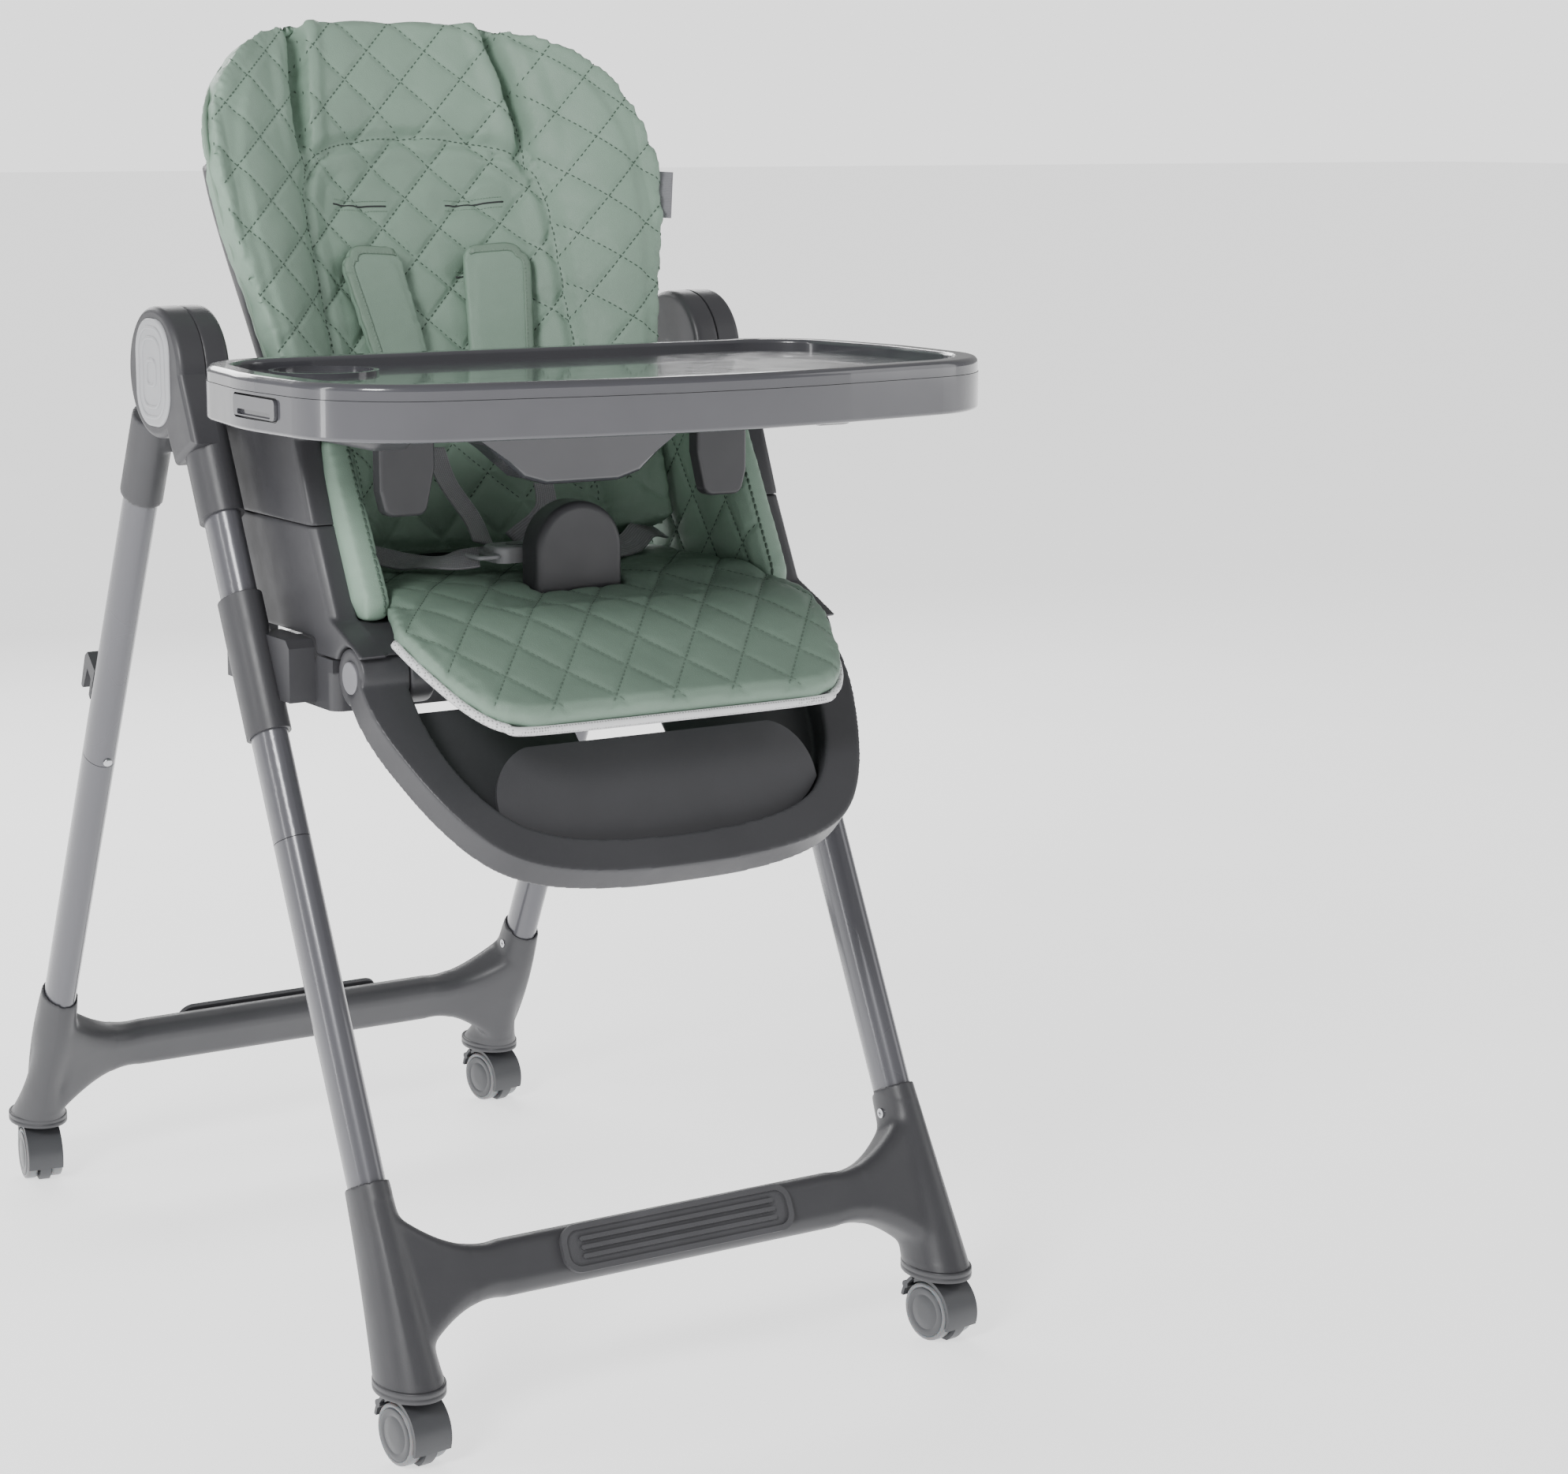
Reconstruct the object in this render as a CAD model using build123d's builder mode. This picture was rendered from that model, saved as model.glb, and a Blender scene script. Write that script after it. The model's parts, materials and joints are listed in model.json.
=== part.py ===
from build123d import *
import os
from math import cos, radians, sin

# Baby high chair on casters. It faces -Y, and left and right are the sitter's own (left is +X).
# Sketches are placed from the hub axis, so their y is measured from it and their z from the floor.
hub_y = 8.1
hub_z = 781.0
leg_x = 240.0
front_lean = 26.4
rear_lean = 26.1
front_offset = 24.5
rear_offset = 29.0
front_stem_y = -385.0
rear_stem_y = 392.0

tube_x_radius = 13.5
front_tube_radius = 20.0
rear_tube_radius = 19.0
tube_wall = 1.6
hub_radius = 52.5
hub_seam_x = 238.1
hub_outer_x = 260.6
hub_inner_x = 215.8
socket_top = 80.0
socket_end = 134.0
tube_joint = 398.5
foot_top = 668.0
foot_pocket = 36.0
foot_z = 54.0
slider_top = 201.0
slider_end = 313.0

wall_x = 213.0
wall_in_x = 191.0
arm_in_x = 182.5
arm_z = 740.0
arm_top_z = 782.0
arm_tip_y = -305.0
seam_z = 674.0
carrier_z = 536.0
carrier_top_z = 567.0
pan_z = 604.0
pivot_y = -248.0
pivot_z = 566.0
barrel_radius = 22.5
legrest_tilt = 45.0

back_y = -58.3
back_z = 640.0
back_lean = 22.0
back_curve = 335.0
pad_thickness = 20.0

tray_z = 757.0
deck_z = 786.0
rim_z = 798.0
tray_wall = 4.0

wheel_radius = 24.0
clear = 0.3
SIDES = (("left", 1), ("right", -1))
caster_turn = {"front_left": 7.0, "front_right": 6.0, "rear_left": 8.0, "rear_right": -9.0}

os.makedirs("parts", exist_ok=True)


def save(piece, name):
    piece.label = name
    export_step(piece, f"parts/{name}.step")


def yz(x):
    return Plane(origin=(x, hub_y, 0), x_dir=(0, 1, 0), z_dir=(1, 0, 0))


def xy(z):
    return Plane(origin=(0, hub_y, z))


def xz(y):
    return Plane(origin=(0, hub_y + y, 0), x_dir=(1, 0, 0), z_dir=(0, -1, 0))


def leg_point(is_front, out, down):
    """A point of the leg's plane, out from the hub axis square to the leg and down along the leg."""
    lean = radians(front_lean if is_front else rear_lean)
    way = -1 if is_front else 1
    return (way * (out * cos(lean) + down * sin(lean)), hub_z + out * sin(lean) - down * cos(lean))


def leg_plane(is_front, x, down, out=None):
    """A plane square to the leg whose normal runs down the leg."""
    lean = radians(front_lean if is_front else rear_lean)
    offset = front_offset if is_front else rear_offset
    y, z = leg_point(is_front, offset if out is None else out, down)
    way = -1 if is_front else 1
    return Plane(origin=(x, hub_y + y, z), x_dir=(1, 0, 0), z_dir=(0, way * sin(lean), -cos(lean)))


def face_plane(is_front, x, out, down):
    """A plane along the leg, facing away from the hub axis, with its x along X."""
    lean = radians(front_lean if is_front else rear_lean)
    way = -1 if is_front else 1
    y, z = leg_point(is_front, out, down)
    return Plane(origin=(x, hub_y + y, z), x_dir=(1, 0, 0), z_dir=(0, way * cos(lean), sin(lean)))


# ---------------------------------------------------------------- feet, crossbars and step pads
# x, size across the leg, size along the leg and shift out of the crossbar as it swells into the foot
bar_flare = ((150, 30, 44, 0), (184, 34, 50, -1), (210, 40, 78, -3.5), (230, 44, 112, -6))
bar_out = {True: front_offset + 6.0, False: rear_offset + 6.0}
bar_down = 749.0
screw_seat_x = leg_x - tube_x_radius - 2.4


def make_crossbar(is_front):
    tube_radius = front_tube_radius if is_front else rear_tube_radius
    stem_y = front_stem_y if is_front else rear_stem_y
    turn = -front_lean if is_front else rear_lean
    with BuildPart() as bar:
        with BuildSketch(yz(-150)):
            with Locations(leg_point(is_front, bar_out[is_front], bar_down)):
                RectangleRounded(30, 44, 12, rotation=turn)
        extrude(amount=300)
        for _, side in SIDES:
            for x, thick, tall, shift in bar_flare:
                with BuildSketch(yz(side * x)):
                    with Locations(leg_point(is_front, bar_out[is_front] + shift, bar_down)):
                        RectangleRounded(thick, tall, 12, rotation=turn)
            loft()
            with BuildSketch(leg_plane(is_front, side * leg_x, foot_top)):
                Ellipse(tube_x_radius + 2.4, tube_radius + 2.6)
            with BuildSketch(leg_plane(is_front, side * leg_x, foot_top + 52)):
                Ellipse(tube_x_radius + 4.5, tube_radius + 6)
            with BuildSketch(Plane(origin=(side * leg_x, hub_y + stem_y, foot_z + 6), z_dir=(0, 0, -1))):
                Ellipse(25, 34)
            loft()
            with BuildSketch(Plane(origin=(side * leg_x, hub_y + stem_y, foot_z))):
                Ellipse(25, 34)
            extrude(amount=6)
            with BuildSketch(leg_plane(is_front, side * leg_x, foot_top)):
                Ellipse(tube_x_radius, tube_radius)
            extrude(amount=foot_pocket, mode=Mode.SUBTRACT)
            with BuildSketch(Plane(origin=(side * leg_x, hub_y + stem_y, foot_z))):
                Circle(5.8)
            extrude(amount=32, mode=Mode.SUBTRACT)
            with BuildSketch(yz(side * screw_seat_x)):
                with Locations(leg_point(is_front, front_offset if is_front else rear_offset, foot_top + 20)):
                    Circle(4.2)
            extrude(amount=-side * 10, mode=Mode.SUBTRACT)
    return bar.part


def make_step_pad(is_front):
    """The ribbed tread on the crossbar's outer face, with a raised border."""
    out = bar_out[is_front] + 15
    with BuildPart() as pad:
        with BuildSketch(face_plane(is_front, 0, out, bar_down - 1)):
            RectangleRounded(208, 37, 14)
        extrude(amount=2.4)
        with BuildSketch(face_plane(is_front, 0, out + 2.4, bar_down - 1)):
            RectangleRounded(208, 37, 14)
            RectangleRounded(199, 28, 10, mode=Mode.SUBTRACT)
            with GridLocations(1, 6.8, 1, 3):
                SlotOverall(176, 3.4)
        extrude(amount=2)
    return pad.part


for end, is_front in (("front", True), ("rear", False)):
    save(make_crossbar(is_front), f"{end}_crossbar")
    save(make_step_pad(is_front), f"{end}_step_pad")


# ---------------------------------------------------------------- leg tubes
def make_tube(is_front, side, top, end, spigot):
    """An oval tube, with an optional thinner spigot that enters the tube above."""
    radius = front_tube_radius if is_front else rear_tube_radius
    start = top - spigot
    fit = tube_wall + 0.1 if spigot else 0
    with BuildPart() as tube:
        with BuildSketch(leg_plane(is_front, side * leg_x, top)):
            Ellipse(tube_x_radius, radius)
        extrude(amount=end - top)
        if spigot:
            with BuildSketch(leg_plane(is_front, side * leg_x, start)):
                Ellipse(tube_x_radius - fit, radius - fit)
            extrude(amount=spigot)
        with BuildSketch(leg_plane(is_front, side * leg_x, start)):
            Ellipse(tube_x_radius - fit - tube_wall, radius - fit - tube_wall)
        extrude(amount=end - start, mode=Mode.SUBTRACT)
        if is_front and not spigot:
            for step in range(5):
                hole_down = slider_top + 22 - 64 + 37 * step
                y, z = leg_point(True, front_offset, hole_down)
                with BuildSketch(yz(side * (leg_x - tube_x_radius - 1))):
                    with Locations((y, z)):
                        Circle(4)
                extrude(amount=side * 8, mode=Mode.SUBTRACT)
    return tube.part


for end, is_front in (("front", True), ("rear", False)):
    lower_tubes = [make_tube(is_front, side, tube_joint + 0.6, foot_top + foot_pocket, 30) for _, side in SIDES]
    save(Compound(children=lower_tubes), f"{end}_lower_tubes")
    upper_tubes = [make_tube(is_front, side, socket_top, tube_joint, 0) for _, side in SIDES]
    save(Compound(children=upper_tubes), f"{end}_upper_tubes")


# ---------------------------------------------------------------- folding hubs
button_width, button_height, button_corner = 67.0, 86.0, 28.0
button_travel = 4.0
axle_radius = 8.0


def make_hub(is_front, side):
    """Half of a folding hub: a disc with a neck that turns into the socket of one leg."""
    radius = front_tube_radius if is_front else rear_tube_radius
    offset = front_offset if is_front else rear_offset
    near, far = (hub_seam_x + 0.2, hub_outer_x) if is_front else (hub_inner_x, hub_seam_x - 0.2)
    depth = radius + 3.2
    neck = [
        leg_point(is_front, 0.6 * hub_radius, -0.8 * hub_radius),
        leg_point(is_front, offset + depth, 20),
        leg_point(is_front, offset + depth, socket_top),
        leg_point(is_front, offset - depth, socket_top),
        leg_point(is_front, offset - depth - 3, 46),
        leg_point(is_front, -20, 0),
    ]
    with BuildPart() as hub:
        with BuildSketch(yz(side * near)):
            with Locations((0, hub_z)):
                Circle(hub_radius)
            with BuildLine():
                Polyline(*neck, close=True)
            make_face()
        extrude(amount=side * (far - near))
        outer_face = hub.faces().sort_by(Axis.X)[-1 if (side > 0) == is_front else 0]
        fillet(outer_face.outer_wire().edges(), 5)
        with BuildSketch(leg_plane(is_front, side * leg_x, 58)):
            Ellipse(tube_x_radius + 3.6, depth)
        extrude(amount=socket_end - 58)
        other_near = hub_inner_x - 2 if is_front else hub_seam_x - 0.2
        other_width = (hub_seam_x + 0.2 - other_near) if is_front else (hub_outer_x + 2 - other_near)
        with BuildSketch(yz(side * other_near)):
            with Locations((0, hub_z)):
                Circle(hub_radius + 0.8)
        extrude(amount=side * other_width, mode=Mode.SUBTRACT)
        with BuildSketch(leg_plane(is_front, side * leg_x, socket_top)):
            Ellipse(tube_x_radius, radius)
        extrude(amount=socket_end - socket_top + 1, mode=Mode.SUBTRACT)
        with BuildSketch(yz(side * (hub_inner_x - 1))):
            with Locations((0, hub_z)):
                Circle(axle_radius if is_front else axle_radius + 0.2)
        extrude(amount=side * 34, mode=Mode.SUBTRACT)
        if is_front:
            with BuildSketch(yz(side * (hub_outer_x - 11))):
                with Locations((0, hub_z)):
                    RectangleRounded(button_width + 2 * clear, button_height + 2 * clear, button_corner)
            extrude(amount=side * 20, mode=Mode.SUBTRACT)
    return hub.part


def make_fold_button(side):
    with BuildPart() as button:
        with BuildSketch(yz(side * (hub_outer_x - 11 + button_travel + clear))):
            with Locations((0, hub_z)):
                RectangleRounded(button_width, button_height, button_corner)
        extrude(amount=side * 8.5)
        fillet(button.faces().sort_by(Axis.X)[-1 if side > 0 else 0].edges(), 2.2)
    return button.part


def make_hub_axle(side):
    with BuildPart() as axle:
        with BuildSketch(yz(side * (hub_inner_x - 1))):
            with Locations((0, hub_z)):
                Circle(axle_radius)
        extrude(amount=side * 34)
        with BuildSketch(yz(side * (hub_inner_x - 1))):
            with Locations((0, hub_z)):
                Circle(3)
                Circle(1.6, mode=Mode.SUBTRACT)
        extrude(amount=-side * 0.8)
    return axle.part


def make_foot_screw(is_front, side):
    """A pan-head screw through the inner side of the foot's socket."""
    y, z = leg_point(is_front, front_offset if is_front else rear_offset, foot_top + 20)
    with BuildPart() as screw:
        with BuildSketch(yz(side * (screw_seat_x - 1.6))):
            with Locations((y, z)):
                Circle(4)
        extrude(amount=side * 1.6)
        with BuildSketch(yz(side * (screw_seat_x - 1.6))):
            with Locations((y, z)):
                Rectangle(4.5, 1)
                Rectangle(1, 4.5)
        extrude(amount=side * 0.8, mode=Mode.SUBTRACT)
    return screw.part


def make_snap_button(side):
    """The sprung button that locks the two rear tubes together, seen as a small dome."""
    with BuildPart() as snap:
        with BuildSketch(face_plane(False, side * leg_x, rear_offset - rear_tube_radius, tube_joint - 5)):
            Circle(4)
        extrude(amount=-2.2)
        fillet(snap.faces().sort_by(Axis.Y)[0].edges(), 1.6)
    return snap.part


def make_tray_hook(side):
    """The hook behind the rear tube on which the tray is stored."""
    out = rear_offset + rear_tube_radius
    hook = [(out - 0.1, 322), (out + 20, 316), (out + 24, 322), (out + 22, 352), (out + 17, 352),
            (out + 15, 330), (out + 5, 334), (out + 4, 350), (out - 0.1, 352)]
    with BuildPart() as part:
        with BuildSketch(yz(side * leg_x - 8)):
            with BuildLine():
                Polyline(*[leg_point(False, *point) for point in hook], close=True)
            make_face()
        extrude(amount=16)
        fillet(part.edges().filter_by(Axis.X).sort_by(Axis.Y)[-3:], 1.5)
        with BuildSketch(leg_plane(False, side * leg_x, 300)):
            Ellipse(tube_x_radius, rear_tube_radius)
        extrude(amount=70, mode=Mode.SUBTRACT)
    return part.part


for name, side in SIDES:
    save(make_hub(True, side), f"hub_outer_{name}")
    save(make_hub(False, side), f"hub_inner_{name}")
    save(make_fold_button(side), f"fold_button_{name}")
front_fasteners = [make_hub_axle(side) for _, side in SIDES]
front_fasteners += [make_foot_screw(True, side) for _, side in SIDES]
save(Compound(children=front_fasteners), "front_fasteners")
rear_fasteners = [make_foot_screw(False, side) for _, side in SIDES]
rear_fasteners += [make_snap_button(side) for _, side in SIDES]
save(Compound(children=rear_fasteners), "rear_fasteners")
save(Compound(children=[make_tray_hook(side) for _, side in SIDES]), "tray_hooks")


# ---------------------------------------------------------------- height slider: sleeves and carrier
bracket_top_z = 588.0
button_y, height_button_z, height_button_radius = -105.0, 551.5, 11.5


def make_sleeve(side):
    """The sleeve that slides on the front tube, with the bracket that holds the carrier."""
    with BuildPart() as sleeve:
        with BuildSketch(leg_plane(True, side * leg_x, slider_top)):
            Ellipse(16.6, 23.4)
        extrude(amount=slider_end - slider_top)
        with BuildSketch(yz(side * wall_x)):
            with BuildLine():
                Polyline((-190, carrier_z + 4), (-190, bracket_top_z - 6), (-184, bracket_top_z),
                         (-128, bracket_top_z), (-124, carrier_z + 4), close=True)
            make_face()
        extrude(amount=side * 22)
        with BuildSketch(leg_plane(True, side * leg_x, slider_top)):
            Ellipse(tube_x_radius + 0.4, front_tube_radius + 0.4)
        extrude(amount=slider_end - slider_top, mode=Mode.SUBTRACT)
        fillet(sleeve.faces().sort_by(Axis.Z)[-1].outer_wire().edges(), 0.8)
    return sleeve.part


def make_height_button(side):
    with BuildPart() as button:
        with BuildSketch(yz(side * (wall_x - 9.5))):
            with Locations((button_y, height_button_z)):
                Circle(height_button_radius)
        extrude(amount=side * 11)
        fillet(button.faces().sort_by(Axis.X)[-1 if side > 0 else 0].edges(), 1)
    return button.part


with BuildPart() as carrier:
    with BuildSketch(xy(carrier_z)):
        with Locations((0, -117.75)):
            RectangleRounded(2 * wall_x, 208.5, 10)
            RectangleRounded(2 * wall_x - 44, 164.5, 6, mode=Mode.SUBTRACT)
    extrude(amount=carrier_top_z - carrier_z)
    for _, side in SIDES:
        with BuildSketch(yz(side * wall_in_x)):
            with BuildLine():
                Polyline((-221, carrier_top_z - 1), (-221, 576), (-194, 576), (-186, carrier_top_z - 1), close=True)
            make_face()
        extrude(amount=side * (wall_x - wall_in_x))
        with BuildSketch(yz(side * wall_x)):
            with Locations((button_y, height_button_z)):
                Circle(height_button_radius + clear)
        extrude(amount=-side * 15.5, mode=Mode.SUBTRACT)
save(carrier.part, "carrier_frame")
for name, side in SIDES:
    save(make_sleeve(side), f"height_sleeve_{name}")
    save(make_height_button(side), f"height_button_{name}")


# ---------------------------------------------------------------- seat base, armrests and crotch post
lug_x = (150.0, 171.4)
pin_radius = 6.0
cap_radius = 12.5


def make_seat_base():
    """The seat's lower moulding: two side walls, the pan between them and the legrest's lugs."""
    wall = [(-17, 589.2), (-17, seam_z), (-187, seam_z), (-222, 605), (-243, 596.5), (-272, 584),
            (-262, 581), (-232, 577), (-192, 577), (-190.3, 589.2)]
    with BuildPart() as base:
        for _, side in SIDES:
            with BuildSketch(yz(side * wall_in_x)):
                with BuildLine():
                    Polyline(*wall, close=True)
                make_face()
            extrude(amount=side * (wall_x - wall_in_x))
        ridge = base.edges().filter_by(lambda edge: abs(edge.center().X) > wall_x - 1)
        chamfer(ridge.filter_by(lambda edge: 610 < edge.center().Z < 660 and edge.center().Y < hub_y - 100), 5)
        with BuildSketch(yz(-wall_in_x - 2)):
            with BuildLine():
                Polyline((-20, 592), (-20, pan_z), (-226, pan_z), (-243, 597.5), (-268, 585), (-262, 582),
                         (-236, 583), (-206, 592), close=True)
            make_face()
        extrude(amount=2 * wall_in_x + 4)
        for _, side in SIDES:
            with BuildSketch(yz(side * lug_x[0])):
                with Locations((pivot_y, pivot_z)):
                    Circle(barrel_radius)
                with BuildLine():
                    Polyline((-270, pivot_z), (-262, 584), (-215, 594), (-215, 580), (-232, 555), close=True)
                make_face()
            extrude(amount=side * (lug_x[1] - lug_x[0]))
            with BuildSketch(yz(side * lug_x[1])):
                with Locations((pivot_y, pivot_z)):
                    Circle(barrel_radius + 1)
            extrude(amount=side * (wall_x + 2 - lug_x[1]), mode=Mode.SUBTRACT)
            with BuildSketch(yz(side * lug_x[0])):
                with Locations((pivot_y, pivot_z)):
                    Circle(pin_radius)
            extrude(amount=side * (lug_x[1] - lug_x[0]), mode=Mode.SUBTRACT)
            with BuildSketch(yz(side * 171)):
                with Locations((-24, carrier_top_z + 18)):
                    Rectangle(14, 36)
                with Locations((-196, carrier_top_z + 16)):
                    Rectangle(14, 32)
            extrude(amount=side * 12)
        with BuildSketch(xy(pan_z - 14)):
            with Locations((0, -206)):
                RectangleRounded(80, 40, 10)
        extrude(amount=14)
    return base.part


def make_armrest(side):
    """The upper housing with the arm that carries the tray, bored at its tip."""
    with BuildPart() as arm:
        with BuildSketch(yz(side * wall_in_x)) as profile:
            with BuildLine():
                Polyline((-17, seam_z + 0.4), (-17, arm_top_z), (-190, arm_top_z), (-190, arm_z), (-160, arm_z),
                         (-187, seam_z + 0.4), close=True)
            make_face()
            fillet(profile.vertices().sort_by_distance((-17, arm_top_z, 0))[0], 72)
        extrude(amount=side * (wall_x - wall_in_x))
        with BuildSketch(yz(side * arm_in_x)) as rail:
            with BuildLine():
                Polyline((-100, arm_z + 2), (-100, arm_top_z), (arm_tip_y, arm_top_z), (arm_tip_y, arm_z),
                         (-150, arm_z), close=True)
            make_face()
            fillet(rail.vertices().sort_by(Axis.X)[:2], 18)
        extrude(amount=side * (wall_x - arm_in_x))
        long_edges = arm.edges().filter_by(lambda edge: abs(edge.center().X) > wall_x - 0.5)
        fillet(long_edges.filter_by(lambda edge: edge.center().Y < hub_y - 150), 6)
        with BuildSketch(xz(arm_tip_y)):
            with Locations((side * (wall_x + arm_in_x) / 2, (arm_z + arm_top_z) / 2)):
                Circle(9)
        extrude(amount=-34, mode=Mode.SUBTRACT)
    return arm.part


with BuildPart() as post:
    with BuildSketch(xz(-228)):
        with BuildLine():
            Polyline((-38.5, 646.5), (-38.5, pan_z), (38.5, pan_z), (38.5, 646.5))
            ThreePointArc((38.5, 646.5), (0, 685), (-38.5, 646.5))
        make_face()
    extrude(amount=-30)
    fillet(post.edges().filter_by(lambda edge: edge.center().Z > pan_z + 1).filter_by(Axis.Y, reverse=True), 6)
save(post.part, "crotch_post")
save(make_seat_base(), "seat_base")
for name, side in SIDES:
    save(make_armrest(side), f"armrest_{name}")


# ---------------------------------------------------------------- seat padding and harness
with BuildPart() as seat_pad:
    with BuildSketch(xy(pan_z + clear)):
        with Locations((0, -145)):
            RectangleRounded(2 * 169, 184, 20)
    extrude(amount=18)
    with BuildSketch(xy(pan_z)):
        with Locations((0, -213)):
            RectangleRounded(79, 32, 6)
    extrude(amount=30, mode=Mode.SUBTRACT)
    fillet(seat_pad.faces().sort_by(Axis.Z)[-1].outer_wire().edges(), 5)
save(seat_pad.part, "seat_pad")


def make_side_pad(side):
    """The bolster that lines the housing beside the sitter."""
    with BuildPart() as pad:
        with BuildSketch(yz(side * 170)) as profile:
            with BuildLine():
                Polyline((-34, pan_z + 1), (-34, 738), (-170, 738), (-236, pan_z + 14), (-232, pan_z + 1),
                         close=True)
            make_face()
            fillet(profile.vertices().group_by(Axis.X)[-1], 12)
        extrude(amount=side * 20.4)
        fillet(pad.faces().sort_by(Axis.X)[0 if side > 0 else -1].edges(), 5)
    return pad.part


for name, side in SIDES:
    save(make_side_pad(side), f"side_pad_{name}")

buckle_x, buckle_y, buckle_z = -26.0, -170.0, 634.0


def make_strap(start, end, width, flat):
    """A straight run of webbing between two points; flat is the direction across its face."""
    begin, finish = Vector(*start), Vector(*end)
    run = finish - begin
    across = run.cross(Vector(*flat)).normalized()
    with BuildPart() as strap:
        with BuildSketch(Plane(origin=begin + Vector(0, hub_y, 0), x_dir=across, z_dir=run.normalized())):
            Rectangle(width, 1.6)
        extrude(amount=run.length)
    return strap.part


with BuildPart() as buckle:
    with BuildSketch(Plane(origin=(buckle_x, hub_y + buckle_y, buckle_z))):
        RectangleRounded(50, 34, 10)
    extrude(amount=13)
    fillet(buckle.faces().sort_by(Axis.Z)[-1].edges(), 3)
    with BuildSketch(Plane(origin=(buckle_x, hub_y + buckle_y, buckle_z + 8))):
        Circle(9 + clear)
    extrude(amount=6, mode=Mode.SUBTRACT)
save(buckle.part, "harness_buckle")
with BuildPart() as buckle_button:
    with BuildSketch(Plane(origin=(buckle_x, hub_y + buckle_y, buckle_z + 10.5))):
        Circle(9)
    extrude(amount=3.2)
save(buckle_button.part, "buckle_button")

belt_z = buckle_z + 4
belts = [
    make_strap((160, -80, 634), (buckle_x + 34, buckle_y, belt_z), 24, (0, 0, 1)),
    make_strap((-160, -80, 634), (buckle_x - 34, buckle_y + 3, belt_z), 24, (0, 0, 1)),
    make_strap((46, -66, 716), (buckle_x + 14, buckle_y + 30, belt_z + 4), 20, (0, 0.7, 0.7)),
    make_strap((-46, -66, 716), (buckle_x - 14, buckle_y + 30, belt_z + 4), 20, (0, 0.7, 0.7)),
]
save(Compound(children=belts), "lower_harness_straps")


# ---------------------------------------------------------------- backrest
lean_up = Vector(0, sin(radians(back_lean)), cos(radians(back_lean)))
lean_out = Vector(0, -cos(radians(back_lean)), sin(radians(back_lean)))
back_outline = ((160, -6), (168, 96), (181, 170), (203, 298), (187, 372), (112, 437), (0, 452))


def back_plane(up, out):
    """A plane across the backrest, square to its length, with its y pointing out of its front."""
    origin = Vector(0, hub_y + back_y, back_z) + lean_up * up + lean_out * out
    return Plane(origin=origin, x_dir=(1, 0, 0), z_dir=-lean_up)


def back_face(up, out, x=0):
    """A plane parallel to the backrest that faces forward, with its y pointing up the backrest."""
    origin = Vector(x, hub_y + back_y, back_z) + lean_up * up + lean_out * out
    return Plane(origin=origin, x_dir=(1, 0, 0), z_dir=lean_out)


def make_back_layer(front, back, grow, low):
    """A slice of the curved back between two depths behind its front, cut to the back's outline."""
    with BuildPart() as layer:
        with BuildSketch(back_plane(470, 0)):
            with Locations((0, back_curve)):
                Circle(back_curve + back)
                Circle(back_curve + front, mode=Mode.SUBTRACT)
            with Locations((0, back_curve - 60)):
                Rectangle(3 * back_curve, 2 * back_curve, align=(Align.CENTER, Align.MIN), mode=Mode.SUBTRACT)
        extrude(amount=500)
        right = [(x + grow, up) for x, up in back_outline[:-1]]
        top = (0, back_outline[-1][1] + grow)
        left = [(-x, up) for x, up in reversed(right)]
        with BuildSketch(back_face(0, -80)):
            with BuildLine():
                Spline(*right, top, *left)
                Polyline(right[0], (right[0][0] - 14, low), (14 - right[0][0], low), left[-1])
            make_face()
        extrude(amount=240, mode=Mode.INTERSECT)
    return layer.part


lever_up = 300.0
lever_pin = (back_y + lever_up * lean_up.Y - 38 * lean_out.Y, back_z + lever_up * lean_up.Z - 38 * lean_out.Z)
with BuildPart() as back_shell:
    add(make_back_layer(pad_thickness + clear, pad_thickness + 4.5, -7, -14))
    with BuildSketch(back_face(lever_up, -pad_thickness + 2)):
        with Locations((-56, 0), (56, 0)):
            RectangleRounded(10, 26, 4)
    extrude(amount=-27)
    with BuildSketch(yz(-62)):
        with Locations(lever_pin):
            Circle(3.2)
    extrude(amount=124, mode=Mode.SUBTRACT)
save(back_shell.part, "back_shell")

with BuildPart() as recline_lever:
    with BuildSketch(back_face(lever_up - 22, -41)):
        RectangleRounded(96, 64, 12)
    extrude(amount=6)
    with BuildSketch(yz(-60.8)):
        with Locations(lever_pin):
            Circle(2.9)
    extrude(amount=121.6)
save(recline_lever.part, "recline_lever")
save(make_back_layer(0, pad_thickness, 0, -8), "back_pad")


strap_x = 52.0


def strap_plane(side, out):
    """A plane that touches the curved back where a shoulder strap lies, raised by out."""
    slope = side * strap_x / back_curve
    across = Vector(1, 0, 0) * cos(slope) + lean_out * sin(slope)
    away = lean_out * cos(slope) - Vector(1, 0, 0) * sin(slope)
    foot = back_face(0, strap_x ** 2 / 2 / back_curve, side * strap_x).origin
    return Plane(origin=foot + away * out, x_dir=across, z_dir=away)


def make_shoulder_pad(side):
    top, low = (side * 10, 248), (-side * 10, 108)
    with BuildPart() as pad:
        with BuildSketch(strap_plane(side, 3.2)) as face:
            with BuildLine():
                Polyline((top[0] - 30, top[1]), (top[0] + 30, top[1]), (low[0] + 27, low[1]),
                         (low[0] - 27, low[1]), close=True)
            make_face()
            fillet(face.vertices(), 12)
        extrude(amount=13)
    return pad.part


for name, side in SIDES:
    save(make_shoulder_pad(side), f"shoulder_pad_{name}")


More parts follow.
